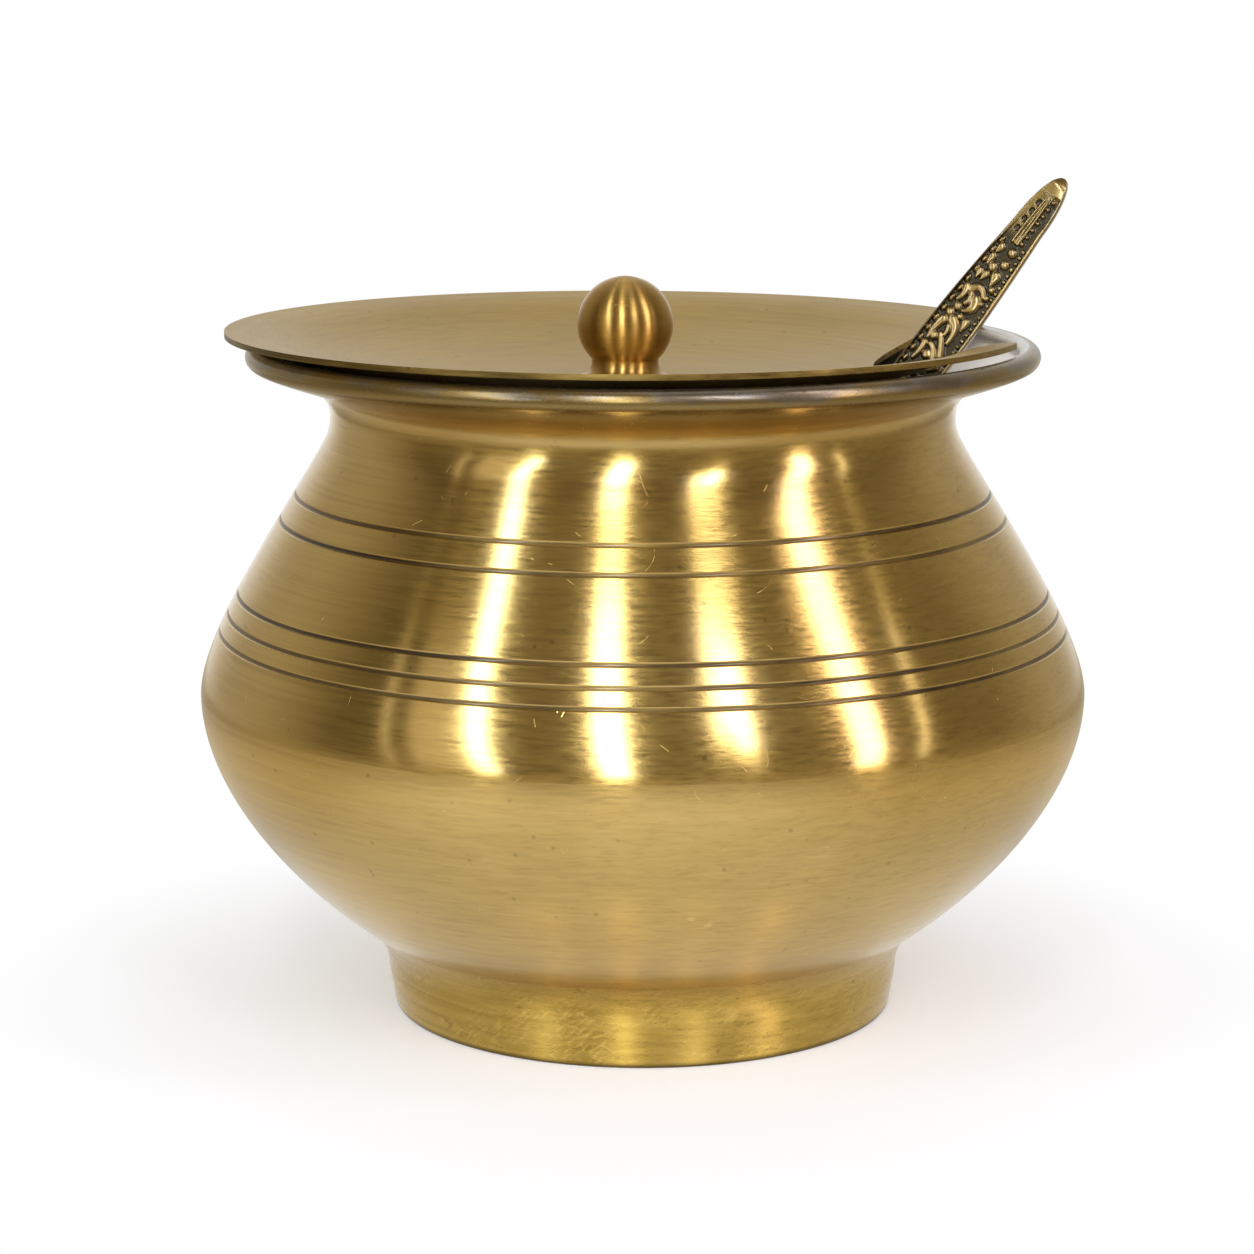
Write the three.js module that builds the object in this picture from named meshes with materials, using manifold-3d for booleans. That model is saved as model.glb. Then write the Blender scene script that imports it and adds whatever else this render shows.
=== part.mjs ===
// A brass ghee pot with a loose dished lid and a small cast spoon.
//
// The pot is raised in two halves that meet at the belly and stands on a turned foot ring.
// Its neck flares out to a rounded lip, and the lid lies on the lip's crest, pushed a little
// to one side. The spoon's handle comes out through a bite in the lid's edge.
//
// Millimetres, +Z up. The origin is on the surface that the foot stands on, on the pot's axis.

import * as THREE from 'three';
import Module from 'manifold-3d';
import { mergeVertices } from 'three/addons/utils/BufferGeometryUtils.js';

const point = (x, y) => new THREE.Vector2(x, y);

// Pot body
const bellyRadius = 55.2;
const bellyHeight = 40.5; // the seam between the two halves, where the belly is widest
const wall = 1.5;
const bottomHeight = 3.8; // underside of the bowl above the surface it stands on
const bottomFlatRadius = 19.2;
const bottomRoundness = 10.7; // how far the flat bottom's direction carries on into the curve
const bottomRise = 0.6; // how much that direction rises
const bowlFullness = 17.6; // how far the upright belly carries on downwards
const shoulderFullness = 8.5; // and upwards
const neckRadius = 38.8;
const neckHeight = 73.35;
const neckSoftness = 2.5;
const neckStraight = 2.85;

// Flared lip
const lipReach = 8.8; // from the neck out to the centre of the lip's bead
const lipRadius = neckRadius + lipReach;
const lipHeight = 82.35;
const lipBeadRadius = 1.35;
const lipSlope = 26; // degrees above the horizontal where the flare meets the bead
const flareRise = 2.6;
const flareReach = 4.2;

// Turned grooves on the shoulder, each given by its distance below the neck
const grooveDrops = [7.95, 11.05, 20.25, 22.65, 24.85];
const grooveWidth = 0.7;
const grooveDepth = 0.3;

// Foot ring
const footTopRadius = 32.2;
const footTaper = 0.75; // how much narrower the foot is at the bottom
const footThickness = 3.1; // at the top
const footRadius = footTopRadius - footTaper;
const footInnerRadius = footTopRadius - footThickness;
const footEdgeRound = 0.4;
const brazingGap = 0.3; // between the foot ring and the bowl

// Lid
const lidOverhang = 1.8; // past the centre of the lip's bead
const lidRadius = lipRadius + lidOverhang;
const lidSheet = 0.85;
const lidDepth = 6.3;
const lidFlatRadius = 17;
const lidBrimWidth = 5.2;
const lidBrimSlope = 4; // degrees
const lidShift = point(-2.5, 1.2); // how far the lid is pushed off the pot's axis
const lidSideTilt = 0.35; // degrees, its +X side down
const lidBackTilt = 0.25; // degrees, its +Y side down
const lidSeatGap = 0.25; // between the lid's underside and the lip's crest
const lidHoleRadius = 2;

// The bite in the lid's edge
const biteRadius = 15;
const biteInset = 3.4; // from the lid's edge to the bite's centre
const biteDistance = lidRadius - biteInset;
const biteAzimuth = 2.5; // degrees from +X towards +Y
const biteCornerRadius = 2;

// Lid knob
const knobBallRadius = 5.95;
const knobBallHeight = 6.5; // from the knob's base to the ball's centre
const knobNeckRadius = 4.15;
const knobNeckHeight = 1.9;
const knobBaseRadius = 5.4;
const knobBoreDepth = 6;

// Screw and washer that hold the knob from below
const screwRadius = 1.4;
const screwClearance = 0.3; // round the shank, in the knob, the sheet and the washer
const screwReach = 4.8; // how far the shank goes up into the knob
const screwHeadRadius = 2.9;
const screwHeadHeight = 1.4;
const slotWidth = 0.8;
const slotDepth = 0.6;
const washerRadius = 4.3;
const washerThickness = 0.6;
const stackGap = 0.3; // between the knob, the sheet, the washer and the screw's head

// Spoon
const spoonTipOut = 13; // from the neck's radius out to the tip
const spoonTipAside = 0.6;
const spoonTipRise = 21.35; // from the lip's bead up to the tip
const spoonTip = new THREE.Vector3(neckRadius + spoonTipOut, spoonTipAside, lipHeight + spoonTipRise);
const spoonLean = 36.7; // degrees from upright towards +X
const spoonTwist = -19; // degrees about its own length
const spoonLength = 117;
const handlePlate = 1.4;
const handleBorderHeight = 0.4;
const handleBorderWidth = 0.8;
const handleBorderStart = 9; // from the tip
const handleNeckHalfWidth = 2;
const handleMiddleHalfWidth = 2.95;
const handleMiddle = 26; // from the tip to the widest part of the handle
const handleTipHalfWidth = 2.05;
const handleTipLength = 7.4;
const spoonBowlHalfWidth = 9.5;
const spoonBowlHalfLength = 13.5;
const spoonBowlDepth = 4.5;
const spoonBowlWall = 1.1;

const potSegments = 48;
const knobSegments = 24;
const smallSegments = 16;

const wasm = await Module();
wasm.setup();

const degrees = Math.PI / 180;

// A solid turned about the Z axis from a profile of radius and height.
function turned(profile, segments) {
	return new THREE.LatheGeometry(profile, segments).rotateX(Math.PI / 2);
}

function toManifold(geometry) {
	const bare = geometry.clone();
	bare.deleteAttribute('normal');
	bare.deleteAttribute('uv');
	const merged = mergeVertices(bare, 1e-4);
	const triangles = [];
	const index = merged.index.array;
	for (let i = 0; i < index.length; i += 3) {
		const [a, b, c] = [index[i], index[i + 1], index[i + 2]];
		if (a !== b && b !== c && c !== a) triangles.push(a, b, c);
	}
	return new wasm.Manifold(new wasm.Mesh({
		numProp: 3,
		vertProperties: new Float32Array(merged.attributes.position.array),
		triVerts: new Uint32Array(triangles),
	}));
}

function toGeometry(manifold) {
	const mesh = manifold.getMesh();
	const geometry = new THREE.BufferGeometry();
	geometry.setAttribute('position', new THREE.BufferAttribute(new Float32Array(mesh.vertProperties), 3));
	geometry.setIndex(new THREE.BufferAttribute(new Uint32Array(mesh.triVerts), 1));
	geometry.computeVertexNormals();
	return geometry;
}

function bezier(a, b, c, d) {
	return new THREE.CubicBezierCurve(point(...a), point(...b), point(...c), point(...d));
}

// The point beside a curve, square to it. Positive distances lie to the left of its direction.
function beside(curve, t, distance) {
	const along = curve.getTangent(t);
	return curve.getPoint(t).add(point(-along.y, along.x).multiplyScalar(distance));
}

// The place on a curve where a rising coordinate, x or y, reaches a value.
function placeAt(curve, coordinate, value) {
	let low = 0;
	let high = 1;
	for (let step = 0; step < 40; step++) {
		const middle = (low + high) / 2;
		if (curve.getPoint(middle)[coordinate] < value) low = middle;
		else high = middle;
	}
	return (low + high) / 2;
}

// Points on an arc, with angles in degrees.
function arc(centre, radius, from, to, steps) {
	return Array.from({ length: steps + 1 }, (_, i) => {
		const angle = (from + ((to - from) * i) / steps) * degrees;
		return point(centre.x + radius * Math.cos(angle), centre.y + radius * Math.sin(angle));
	});
}

const steps = (count) => Array.from({ length: count + 1 }, (_, i) => i / count);

// Lower half: a raised bowl with a flat bottom, open at the belly seam.
const bowlCurve = bezier(
	[bottomFlatRadius, bottomHeight],
	[bottomFlatRadius + bottomRoundness, bottomHeight + bottomRise],
	[bellyRadius, bellyHeight - bowlFullness],
	[bellyRadius, bellyHeight],
);

// The two halves meet on a flat ring at the seam.
const seamInside = point(bellyRadius - wall, bellyHeight);

function lowerBowlGeometry() {
	const outside = steps(10).map((t) => bowlCurve.getPoint(t));
	const inside = steps(9).slice(0, -1).map((t) => beside(bowlCurve, t, wall)).reverse();
	return turned([
		point(0, bottomHeight),
		...outside,
		seamInside,
		...inside,
		point(0, bottomHeight + wall),
	], potSegments);
}

// Upper half: shoulder, neck, flare and lip in one piece.
const shoulderCurve = bezier(
	[bellyRadius, bellyHeight],
	[bellyRadius, bellyHeight + shoulderFullness],
	[neckRadius, neckHeight - neckSoftness],
	[neckRadius, neckHeight],
);
const beadCentre = point(lipRadius, lipHeight);
const slopeAlong = point(Math.cos(lipSlope * degrees), Math.sin(lipSlope * degrees));
const beadUnderside = point(slopeAlong.y, -slopeAlong.x).multiplyScalar(lipBeadRadius).add(beadCentre);
const flareStart = neckHeight + neckStraight;
const flareEnd = beadUnderside.clone().addScaledVector(slopeAlong, -flareReach);
const flareCurve = bezier(
	[neckRadius, flareStart],
	[neckRadius, flareStart + flareRise],
	[flareEnd.x, flareEnd.y],
	[beadUnderside.x, beadUnderside.y],
);

function shoulderOutside() {
	const half = grooveWidth / 2;
	const centres = grooveDrops.map((drop) => neckHeight - drop);
	const plain = steps(9)
		.map((t) => shoulderCurve.getPoint(t))
		.filter((p) => centres.every((height) => Math.abs(p.y - height) > grooveWidth));
	const cut = centres.flatMap((height) => [
		shoulderCurve.getPoint(placeAt(shoulderCurve, 'y', height - half)),
		beside(shoulderCurve, placeAt(shoulderCurve, 'y', height), grooveDepth),
		shoulderCurve.getPoint(placeAt(shoulderCurve, 'y', height + half)),
	]);
	return [...plain, ...cut].sort((a, b) => a.y - b.y);
}

function upperShellGeometry() {
	const neck = point(neckRadius, flareStart);
	const flareOutside = steps(5).slice(1, -1).map((t) => flareCurve.getPoint(t));
	const bead = arc(beadCentre, lipBeadRadius, lipSlope - 90, lipSlope + 180, 8);
	const flareInside = steps(5)
		.map((t) => beside(flareCurve, t, wall))
		.filter((p) => p.distanceTo(beadCentre) > lipBeadRadius * 1.3)
		.reverse();
	const inside = steps(9).slice(1).map((t) => beside(shoulderCurve, t, wall)).reverse();
	const profile = [
		...shoulderOutside(),
		neck,
		...flareOutside,
		...bead,
		...flareInside,
		...inside,
		seamInside,
	];
	return turned([...profile, profile[0].clone()], potSegments);
}

// Foot ring: its top edge follows the bowl's underside.
function underBowl(radius) {
	const samples = steps(200).map((t) => beside(bowlCurve, t, -brazingGap));
	const next = samples.findIndex((p) => p.x >= radius);
	const [a, b] = [samples[next - 1], samples[next]];
	return a.y + ((b.y - a.y) * (radius - a.x)) / (b.x - a.x);
}

function footRingGeometry() {
	const middle = (footInnerRadius + footTopRadius) / 2;
	const profile = [
		point(footInnerRadius, 0),
		point(footRadius - footEdgeRound, 0),
		point(footRadius, footEdgeRound),
		point(footTopRadius, underBowl(footTopRadius)),
		point(middle, underBowl(middle)),
		point(footInnerRadius, underBowl(footInnerRadius)),
	];
	return turned([...profile, profile[0].clone()], potSegments);
}

// Lid: a shallow dish, its heights counted from the flat middle's upper face.
const brimInner = lidRadius - lidBrimWidth;
const brimRise = lidBrimWidth * Math.tan(lidBrimSlope * degrees);
const dishDepth = lidDepth - brimRise;
const dishCurveRadius = ((brimInner - lidFlatRadius) ** 2 + dishDepth ** 2) / (2 * dishDepth);

function lidTop(radius) {
	if (radius > brimInner) return dishDepth + (radius - brimInner) * Math.tan(lidBrimSlope * degrees);
	const out = Math.max(0, radius - lidFlatRadius);
	return dishCurveRadius - Math.sqrt(dishCurveRadius ** 2 - out ** 2);
}

function biteOutline() {
	const centre = point(biteDistance, 0).rotateAround(point(0, 0), biteAzimuth * degrees);
	// The corner rounds touch the lid's edge from inside and the bite from outside.
	const toCorner = lidRadius - biteCornerRadius;
	const fromBite = biteRadius + biteCornerRadius;
	const cosine = (toCorner ** 2 + biteDistance ** 2 - fromBite ** 2) / (2 * toCorner * biteDistance);
	const spread = Math.acos(cosine) / degrees;
	const corner = (side) => {
		const angle = (biteAzimuth + side * spread) * degrees;
		return point(toCorner * Math.cos(angle), toCorner * Math.sin(angle));
	};
	const angleOf = (from, to) => Math.atan2(to.y - from.y, to.x - from.x) / degrees;
	const front = corner(-1);
	const back = corner(1);
	const frontEdge = biteAzimuth - spread;
	const backEdge = biteAzimuth + spread;
	const frontToBite = angleOf(front, centre);
	const backToBite = angleOf(back, centre);
	const frontBite = angleOf(centre, front);
	const backBite = angleOf(centre, back);
	const far = lidRadius + biteRadius;
	return [
		point(far * Math.cos(frontEdge * degrees), far * Math.sin(frontEdge * degrees)),
		...arc(front, biteCornerRadius, frontEdge, frontToBite, 4),
		...arc(centre, biteRadius, frontBite, backBite - 360, 16).slice(1, -1),
		...arc(back, biteCornerRadius, backToBite, backEdge, 4),
		point(far * Math.cos(backEdge * degrees), far * Math.sin(backEdge * degrees)),
	];
}

function lidDishGeometry() {
	const radii = [...steps(6).map((t) => lidFlatRadius + (brimInner - lidFlatRadius) * t), lidRadius];
	const under = radii.map((r) => point(r, lidTop(r) - lidSheet));
	const over = radii.map((r) => point(r, lidTop(r))).reverse();
	const profile = [point(lidHoleRadius, -lidSheet), ...under, ...over, point(lidHoleRadius, 0)];
	const dish = turned([...profile, profile[0].clone()], potSegments);
	const cutter = new THREE.ExtrudeGeometry(new THREE.Shape(biteOutline()), {
		depth: 2 * lidDepth + 2 * lidSheet,
		bevelEnabled: false,
	}).translate(0, 0, -lidDepth);
	return toGeometry(toManifold(dish).subtract(toManifold(cutter)));
}

// Knob: a ball on a short waisted stem, with a blind bore for the screw.
function lidKnobGeometry() {
	const boreRadius = screwRadius + screwClearance;
	const ballCentre = point(0, knobBallHeight);
	const lowest = -Math.acos(knobNeckRadius / knobBallRadius) / degrees;
	const flare = bezier(
		[knobBaseRadius, 0.5],
		[knobBaseRadius - 0.7 * (knobBaseRadius - knobNeckRadius), 0.6],
		[knobNeckRadius, 0.6 * knobNeckHeight],
		[knobNeckRadius, knobNeckHeight],
	);
	return turned([
		point(0, knobBoreDepth),
		point(boreRadius, knobBoreDepth),
		point(boreRadius, 0),
		point(knobBaseRadius, 0),
		...steps(4).map((t) => flare.getPoint(t)),
		...arc(ballCentre, knobBallRadius, lowest, 90, 10).slice(0, -1),
		point(0, knobBallHeight + knobBallRadius),
	], knobSegments);
}

function screwGeometry() {
	const headTop = 0;
	const shankTop = screwReach + lidSheet + washerThickness + 3 * stackGap;
	const profile = [
		point(0, -screwHeadHeight),
		point(screwHeadRadius - 0.5, -screwHeadHeight),
		point(screwHeadRadius, 0.4 - screwHeadHeight),
		point(screwHeadRadius, headTop),
		point(screwRadius, headTop),
		point(screwRadius, shankTop - 0.4),
		point(screwRadius - 0.4, shankTop),
		point(0, shankTop),
	];
	const slot = new THREE.BoxGeometry(4 * screwHeadRadius, slotWidth, 2 * slotDepth)
		.translate(0, 0, -screwHeadHeight);
	return toGeometry(toManifold(turned(profile, smallSegments)).subtract(toManifold(slot)));
}

function washerGeometry() {
	const hole = screwRadius + screwClearance;
	const profile = [
		point(hole, -washerThickness),
		point(washerRadius, -washerThickness),
		point(washerRadius, 0),
		point(hole, 0),
	];
	return turned([...profile, profile[0].clone()], knobSegments);
}

// Spoon: a flat cast handle with a raised border, and an oval bowl. Its length lies along Z
// with the tip at the origin, its front faces -Y, and its width lies along X.
const handleLength = spoonLength - 2 * spoonBowlHalfLength;

function handleHalfWidth(down) {
	if (down < handleTipLength) {
		return handleTipHalfWidth * Math.sqrt(1 - (1 - down / handleTipLength) ** 2);
	}
	if (down < handleMiddle) {
		const share = (down - handleTipLength) / (handleMiddle - handleTipLength);
		return handleTipHalfWidth + (handleMiddleHalfWidth - handleTipHalfWidth) * Math.sin((share * Math.PI) / 2);
	}
	const share = (down - handleMiddle) / (handleLength - handleMiddle);
	const fall = (1 - Math.cos(share * Math.PI)) / 2;
	return handleMiddleHalfWidth + (handleNeckHalfWidth - handleMiddleHalfWidth) * fall;
}

// The handle's outline between two distances from the tip, drawn in by an inset.
function handleOutline(from, to, inset) {
	const tip = steps(5).map((t) => handleTipLength * (1 - Math.cos((t * Math.PI) / 2)));
	const rest = steps(12).map((t) => handleTipLength + (handleLength - handleTipLength) * t);
	const stations = [from, ...[...tip, ...rest].filter((x) => x > from + 0.2 && x < to - 0.2), to];
	const right = stations.map((x) => point(handleHalfWidth(x) - inset, -x));
	const left = right.filter((p) => p.x > 0).map((p) => point(-p.x, p.y)).reverse();
	return [...right, ...left].reverse();
}

function extruded(outline, hole, depth, front) {
	const shape = new THREE.Shape(outline);
	if (hole) shape.holes.push(new THREE.Path(hole));
	return new THREE.ExtrudeGeometry(shape, { depth, bevelEnabled: false })
		.rotateX(Math.PI / 2)
		.translate(0, front + depth, 0);
}

function halfEllipsoid(halfWidth, halfLength, depth) {
	const profile = [point(0, 0), ...arc(point(0, 0), 1, 0, 90, 6).slice(0, -1), point(0, 1)];
	return turned(profile, knobSegments)
		.rotateX(-Math.PI / 2)
		.scale(halfWidth, depth, halfLength);
}

function spoonGeometry() {
	const front = -(handlePlate + handleBorderHeight) / 2;
	const face = front + handleBorderHeight;
	const overlap = 0.5 * handlePlate;
	const borderEnd = handleLength - handleBorderStart / 2;
	const reach = handleLength + 1.5 * spoonBowlWall;
	const whole = handleOutline(0, handleLength, 0);
	const tongue = [
		point(-handleNeckHalfWidth, -reach),
		point(handleNeckHalfWidth, -reach),
		point(handleNeckHalfWidth, -handleLength + 1),
		point(-handleNeckHalfWidth, -handleLength + 1),
	];
	const plate = toManifold(extruded(whole, null, handlePlate, face));
	const border = toManifold(extruded(
		handleOutline(handleBorderStart, borderEnd, 0),
		handleOutline(handleBorderStart + handleBorderWidth, borderEnd - handleBorderWidth, handleBorderWidth),
		handleBorderHeight + overlap,
		front,
	));
	const root = toManifold(extruded(tongue, null, handlePlate, face));
	const bowlPlace = [0, face, -(spoonLength - spoonBowlHalfLength)];
	const outer = toManifold(halfEllipsoid(spoonBowlHalfWidth, spoonBowlHalfLength, spoonBowlDepth)
		.translate(...bowlPlace));
	const hollow = toManifold(halfEllipsoid(
		spoonBowlHalfWidth - spoonBowlWall,
		spoonBowlHalfLength - spoonBowlWall,
		spoonBowlDepth - spoonBowlWall,
	).translate(...bowlPlace));
	return toGeometry(plate.add(border).add(root).add(outer).subtract(hollow));
}

function piece(name, geometry, colour, roughness) {
	const material = new THREE.MeshStandardMaterial({ color: colour, roughness, metalness: 1 });
	const mesh = new THREE.Mesh(geometry, material);
	mesh.name = name;
	return mesh;
}

const gheePot = new THREE.Group();
gheePot.add(piece('lower_bowl', lowerBowlGeometry(), 0xa8843f, 0.34));
gheePot.add(piece('upper_shell', upperShellGeometry(), 0xa07c3c, 0.36));
gheePot.add(piece('foot_ring', footRingGeometry(), 0x9a7638, 0.4));

// The lid rests on the lip's crest: its middle stands as high as the place round the crest
// that comes nearest asks for.
const crest = lipHeight + lipBeadRadius;
const seatHeights = steps(72).map((t) => {
	const seat = point(lipRadius, 0).rotateAround(point(0, 0), 2 * Math.PI * t).sub(lidShift);
	const under = lidTop(Math.min(seat.length(), lidRadius)) - lidSheet;
	const drop = seat.x * Math.sin(lidSideTilt * degrees) + seat.y * Math.sin(lidBackTilt * degrees);
	return crest + lidSeatGap - under + drop;
});

const lid = new THREE.Group();
lid.position.set(lidShift.x, lidShift.y, Math.max(...seatHeights));
lid.rotation.set(-lidBackTilt * degrees, lidSideTilt * degrees, 0);
gheePot.add(lid);
lid.add(piece('lid_dish', lidDishGeometry(), 0x9e895a, 0.5));

const knob = piece('lid_knob', lidKnobGeometry(), 0xa57c3a, 0.28);
knob.position.z = stackGap;
lid.add(knob);

const washer = piece('knob_washer', washerGeometry(), 0x8f8a7c, 0.45);
washer.position.z = -lidSheet - stackGap;
lid.add(washer);

const screw = piece('knob_screw', screwGeometry(), 0x8c8474, 0.4);
screw.position.z = washer.position.z - washerThickness - stackGap;
lid.add(screw);

const spoonStand = new THREE.Group();
spoonStand.position.copy(spoonTip);
spoonStand.rotation.y = spoonLean * degrees;
gheePot.add(spoonStand);

const spoon = piece('spoon', spoonGeometry(), 0x8a6a35, 0.42);
spoon.rotation.z = spoonTwist * degrees;
spoonStand.add(spoon);

export default gheePot;
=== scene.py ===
import math

import bmesh
import bpy
from bpy.props import FloatProperty, FloatVectorProperty, IntProperty, PointerProperty
from bpy.types import Operator, Panel, PropertyGroup
from mathutils import Matrix, Vector
from mathutils.geometry import interpolate_bezier


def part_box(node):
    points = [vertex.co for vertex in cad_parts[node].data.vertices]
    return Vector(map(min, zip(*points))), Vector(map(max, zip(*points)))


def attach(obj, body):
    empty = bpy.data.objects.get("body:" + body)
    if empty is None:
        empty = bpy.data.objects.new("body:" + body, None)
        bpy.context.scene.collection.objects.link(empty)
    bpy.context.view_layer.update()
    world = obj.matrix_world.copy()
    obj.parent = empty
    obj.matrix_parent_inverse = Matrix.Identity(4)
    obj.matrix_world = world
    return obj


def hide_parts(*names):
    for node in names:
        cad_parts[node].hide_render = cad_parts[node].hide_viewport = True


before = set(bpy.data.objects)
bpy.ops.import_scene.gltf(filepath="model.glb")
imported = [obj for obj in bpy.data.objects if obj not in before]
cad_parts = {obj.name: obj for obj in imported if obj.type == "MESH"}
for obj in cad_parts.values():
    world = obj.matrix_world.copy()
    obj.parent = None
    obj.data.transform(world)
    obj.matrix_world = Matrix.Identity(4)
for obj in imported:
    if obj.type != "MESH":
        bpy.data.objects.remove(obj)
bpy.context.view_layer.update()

bl_info = {
    "name": "Brass Ghee Pot",
    "version": (1, 0, 0),
    "blender": (4, 5, 0),
    "location": "3D View > Sidebar > Ghee Pot",
    "description": "Models a brass ghee pot with its dished lid and cast spoon, and its studio stage",
    "category": "Add Mesh",
}

UP = Vector((0, 0, 1))
MM = 0.001


def length(name, description, default):
    """A size in metres, shown in the scene's own unit."""
    return FloatProperty(
        name=name, description=description, default=default, min=0, precision=5, unit="LENGTH"
    )


def angle(name, description, degrees):
    return FloatProperty(
        name=name, description=description, default=math.radians(degrees), subtype="ANGLE"
    )


def share(name, description, default):
    return FloatProperty(
        name=name, description=description, default=default, min=0, max=1, subtype="FACTOR"
    )


def colour(name, description, default):
    return FloatVectorProperty(
        name=name, description=description, default=default, min=0, max=1, size=3, subtype="COLOR"
    )


class PotSizes(PropertyGroup):
    belly_radius: length(
        "Belly Radius", "Widest radius of the pot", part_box("upper_shell")[1].x
    )
    belly_height: length(
        "Belly Height", "Height of the seam between the halves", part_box("lower_bowl")[1].z
    )
    wall: length("Wall", "Thickness of the pot's sheet", 1.5 * MM)
    bottom_height: length(
        "Bottom Height", "Height of the bowl's underside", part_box("lower_bowl")[0].z
    )
    bottom_flat_radius: length("Flat Radius", "Radius of the flat bottom", 19.2 * MM)
    bottom_roundness: length("Bottom Roundness", "Carry of the flat bottom", 10.7 * MM)
    bottom_rise: length("Bottom Rise", "Rise of that carry", 0.6 * MM)
    bowl_fullness: length("Bowl Fullness", "Carry of the upright belly downwards", 17.6 * MM)
    shoulder_fullness: length("Shoulder Fullness", "Carry of the belly upwards", 8.5 * MM)
    neck_radius: length("Neck Radius", "Outside radius of the neck", 38.8 * MM)
    neck_height: length("Neck Height", "Height at which the neck is narrowest", 73.35 * MM)
    neck_softness: length("Neck Softness", "Carry of the upright neck downwards", 2.5 * MM)
    neck_straight: length("Neck Straight", "Upright stretch of the neck", 2.85 * MM)
    neck_ease: length("Neck Ease", "How far the neck's two bends are softened", 1.4 * MM)
    neck_inset: length("Neck Inset", "Draw of the softened neck back inwards", 0.12 * MM)
    lip_radius: length("Lip Radius", "Radius to the centre of the lip's bead", 47.6 * MM)
    lip_height: length("Lip Height", "Height of the bead's centre", 82.35 * MM)
    lip_bead_radius: length("Bead Radius", "Radius of the lip's bead", 1.35 * MM)
    lip_slope: angle("Lip Slope", "Slope of the flare where it meets the bead", 26)
    flare_rise: length("Flare Rise", "Carry of the neck into the flare", 2.6 * MM)
    flare_reach: length("Flare Reach", "Carry of the flare inwards from the bead", 4.2 * MM)
    groove_width: length("Groove Width", "Width of a turned groove", 0.62 * MM)
    groove_depth: length("Groove Depth", "Depth of a turned groove", 0.22 * MM)
    foot_radius: length("Foot Radius", "Outside radius of the foot at the bottom", 31.45 * MM)
    foot_top_radius: length("Foot Top Radius", "Outside radius of the foot's top", 32.2 * MM)
    foot_inner_radius: length("Foot Inner Radius", "Inside radius of the foot", 29.1 * MM)
    foot_edge_round: length("Foot Edge", "Round of the foot's bottom edges", 0.55 * MM)
    braze_fillet: length("Braze Fillet", "Fillet of braze between foot and bowl", 3.6 * MM)
    segments: IntProperty(name="Segments", description="Steps round the pot", default=256, min=32)


class LidSizes(PropertyGroup):
    radius: length("Radius", "Radius of the lid", 49.4 * MM)
    sheet: length("Sheet", "Thickness of the lid's sheet", 0.7 * MM)
    seat_sheet: length("Seat Sheet", "Room for the sheet above the lip", 0.85 * MM)
    depth: length("Depth", "Depth of the dish", 6.3 * MM)
    flat_radius: length("Flat Radius", "Radius of the flat middle", 17 * MM)
    brim_width: length("Brim Width", "Width of the flatter brim", 5.2 * MM)
    brim_slope: angle("Brim Slope", "Slope of the brim", 7.5)
    seat_slope: angle("Seat Slope", "Slope of the brim that sets the lid's height", 4)
    side_tilt: angle("Side Tilt", "Tilt of the lid, its spoon side down", 0.22)
    back_tilt: angle("Back Tilt", "Tilt of the lid, its far side down", 0.25)
    hole_radius: length("Hole Radius", "Radius of the hole for the knob's screw", 2 * MM)
    edge_round: length("Edge Round", "Round of the sheet's edges", 0.3 * MM)
    bite_radius: length("Bite Radius", "Radius of the bite for the spoon", 15 * MM)
    bite_distance: length("Bite Distance", "From the lid's centre to the bite's", 46 * MM)
    bite_azimuth: angle("Bite Direction", "Direction of the bite from +X", 2.5)
    bite_corner_radius: length("Bite Corner", "Round of the bite's corners", 2 * MM)
    knob_ball_radius: length("Ball Radius", "Radius of the knob's ball", 5.95 * MM)
    knob_ball_height: length("Ball Height", "From the knob's base to the ball's centre", 6.5 * MM)
    knob_neck_radius: length("Stem Radius", "Radius of the knob's stem", 4.15 * MM)
    knob_neck_height: length("Stem Height", "Height of the stem's narrowest place", 1.9 * MM)
    knob_base_radius: length("Base Radius", "Radius of the knob's base", 5.4 * MM)
    screw_radius: length("Screw Radius", "Radius of the screw's shank", 1.4 * MM)
    screw_clearance: length("Screw Clearance", "Room round the shank", 0.3 * MM)
    screw_reach: length("Screw Reach", "How far the shank goes into the knob", 4.8 * MM)
    screw_head_radius: length("Head Radius", "Radius of the screw's head", 2.9 * MM)
    screw_head_height: length("Head Height", "Height of the screw's head", 1.4 * MM)
    slot_width: length("Slot Width", "Width of the screw's slot", 0.8 * MM)
    slot_depth: length("Slot Depth", "Depth of the screw's slot", 0.6 * MM)
    washer_radius: length("Washer Radius", "Outside radius of the washer", 4.3 * MM)
    washer_thickness: length("Washer Thickness", "Thickness of the washer", 0.6 * MM)
    stack_gap: length("Stack Gap", "Gap between the stacked pieces", 0.3 * MM)


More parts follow.
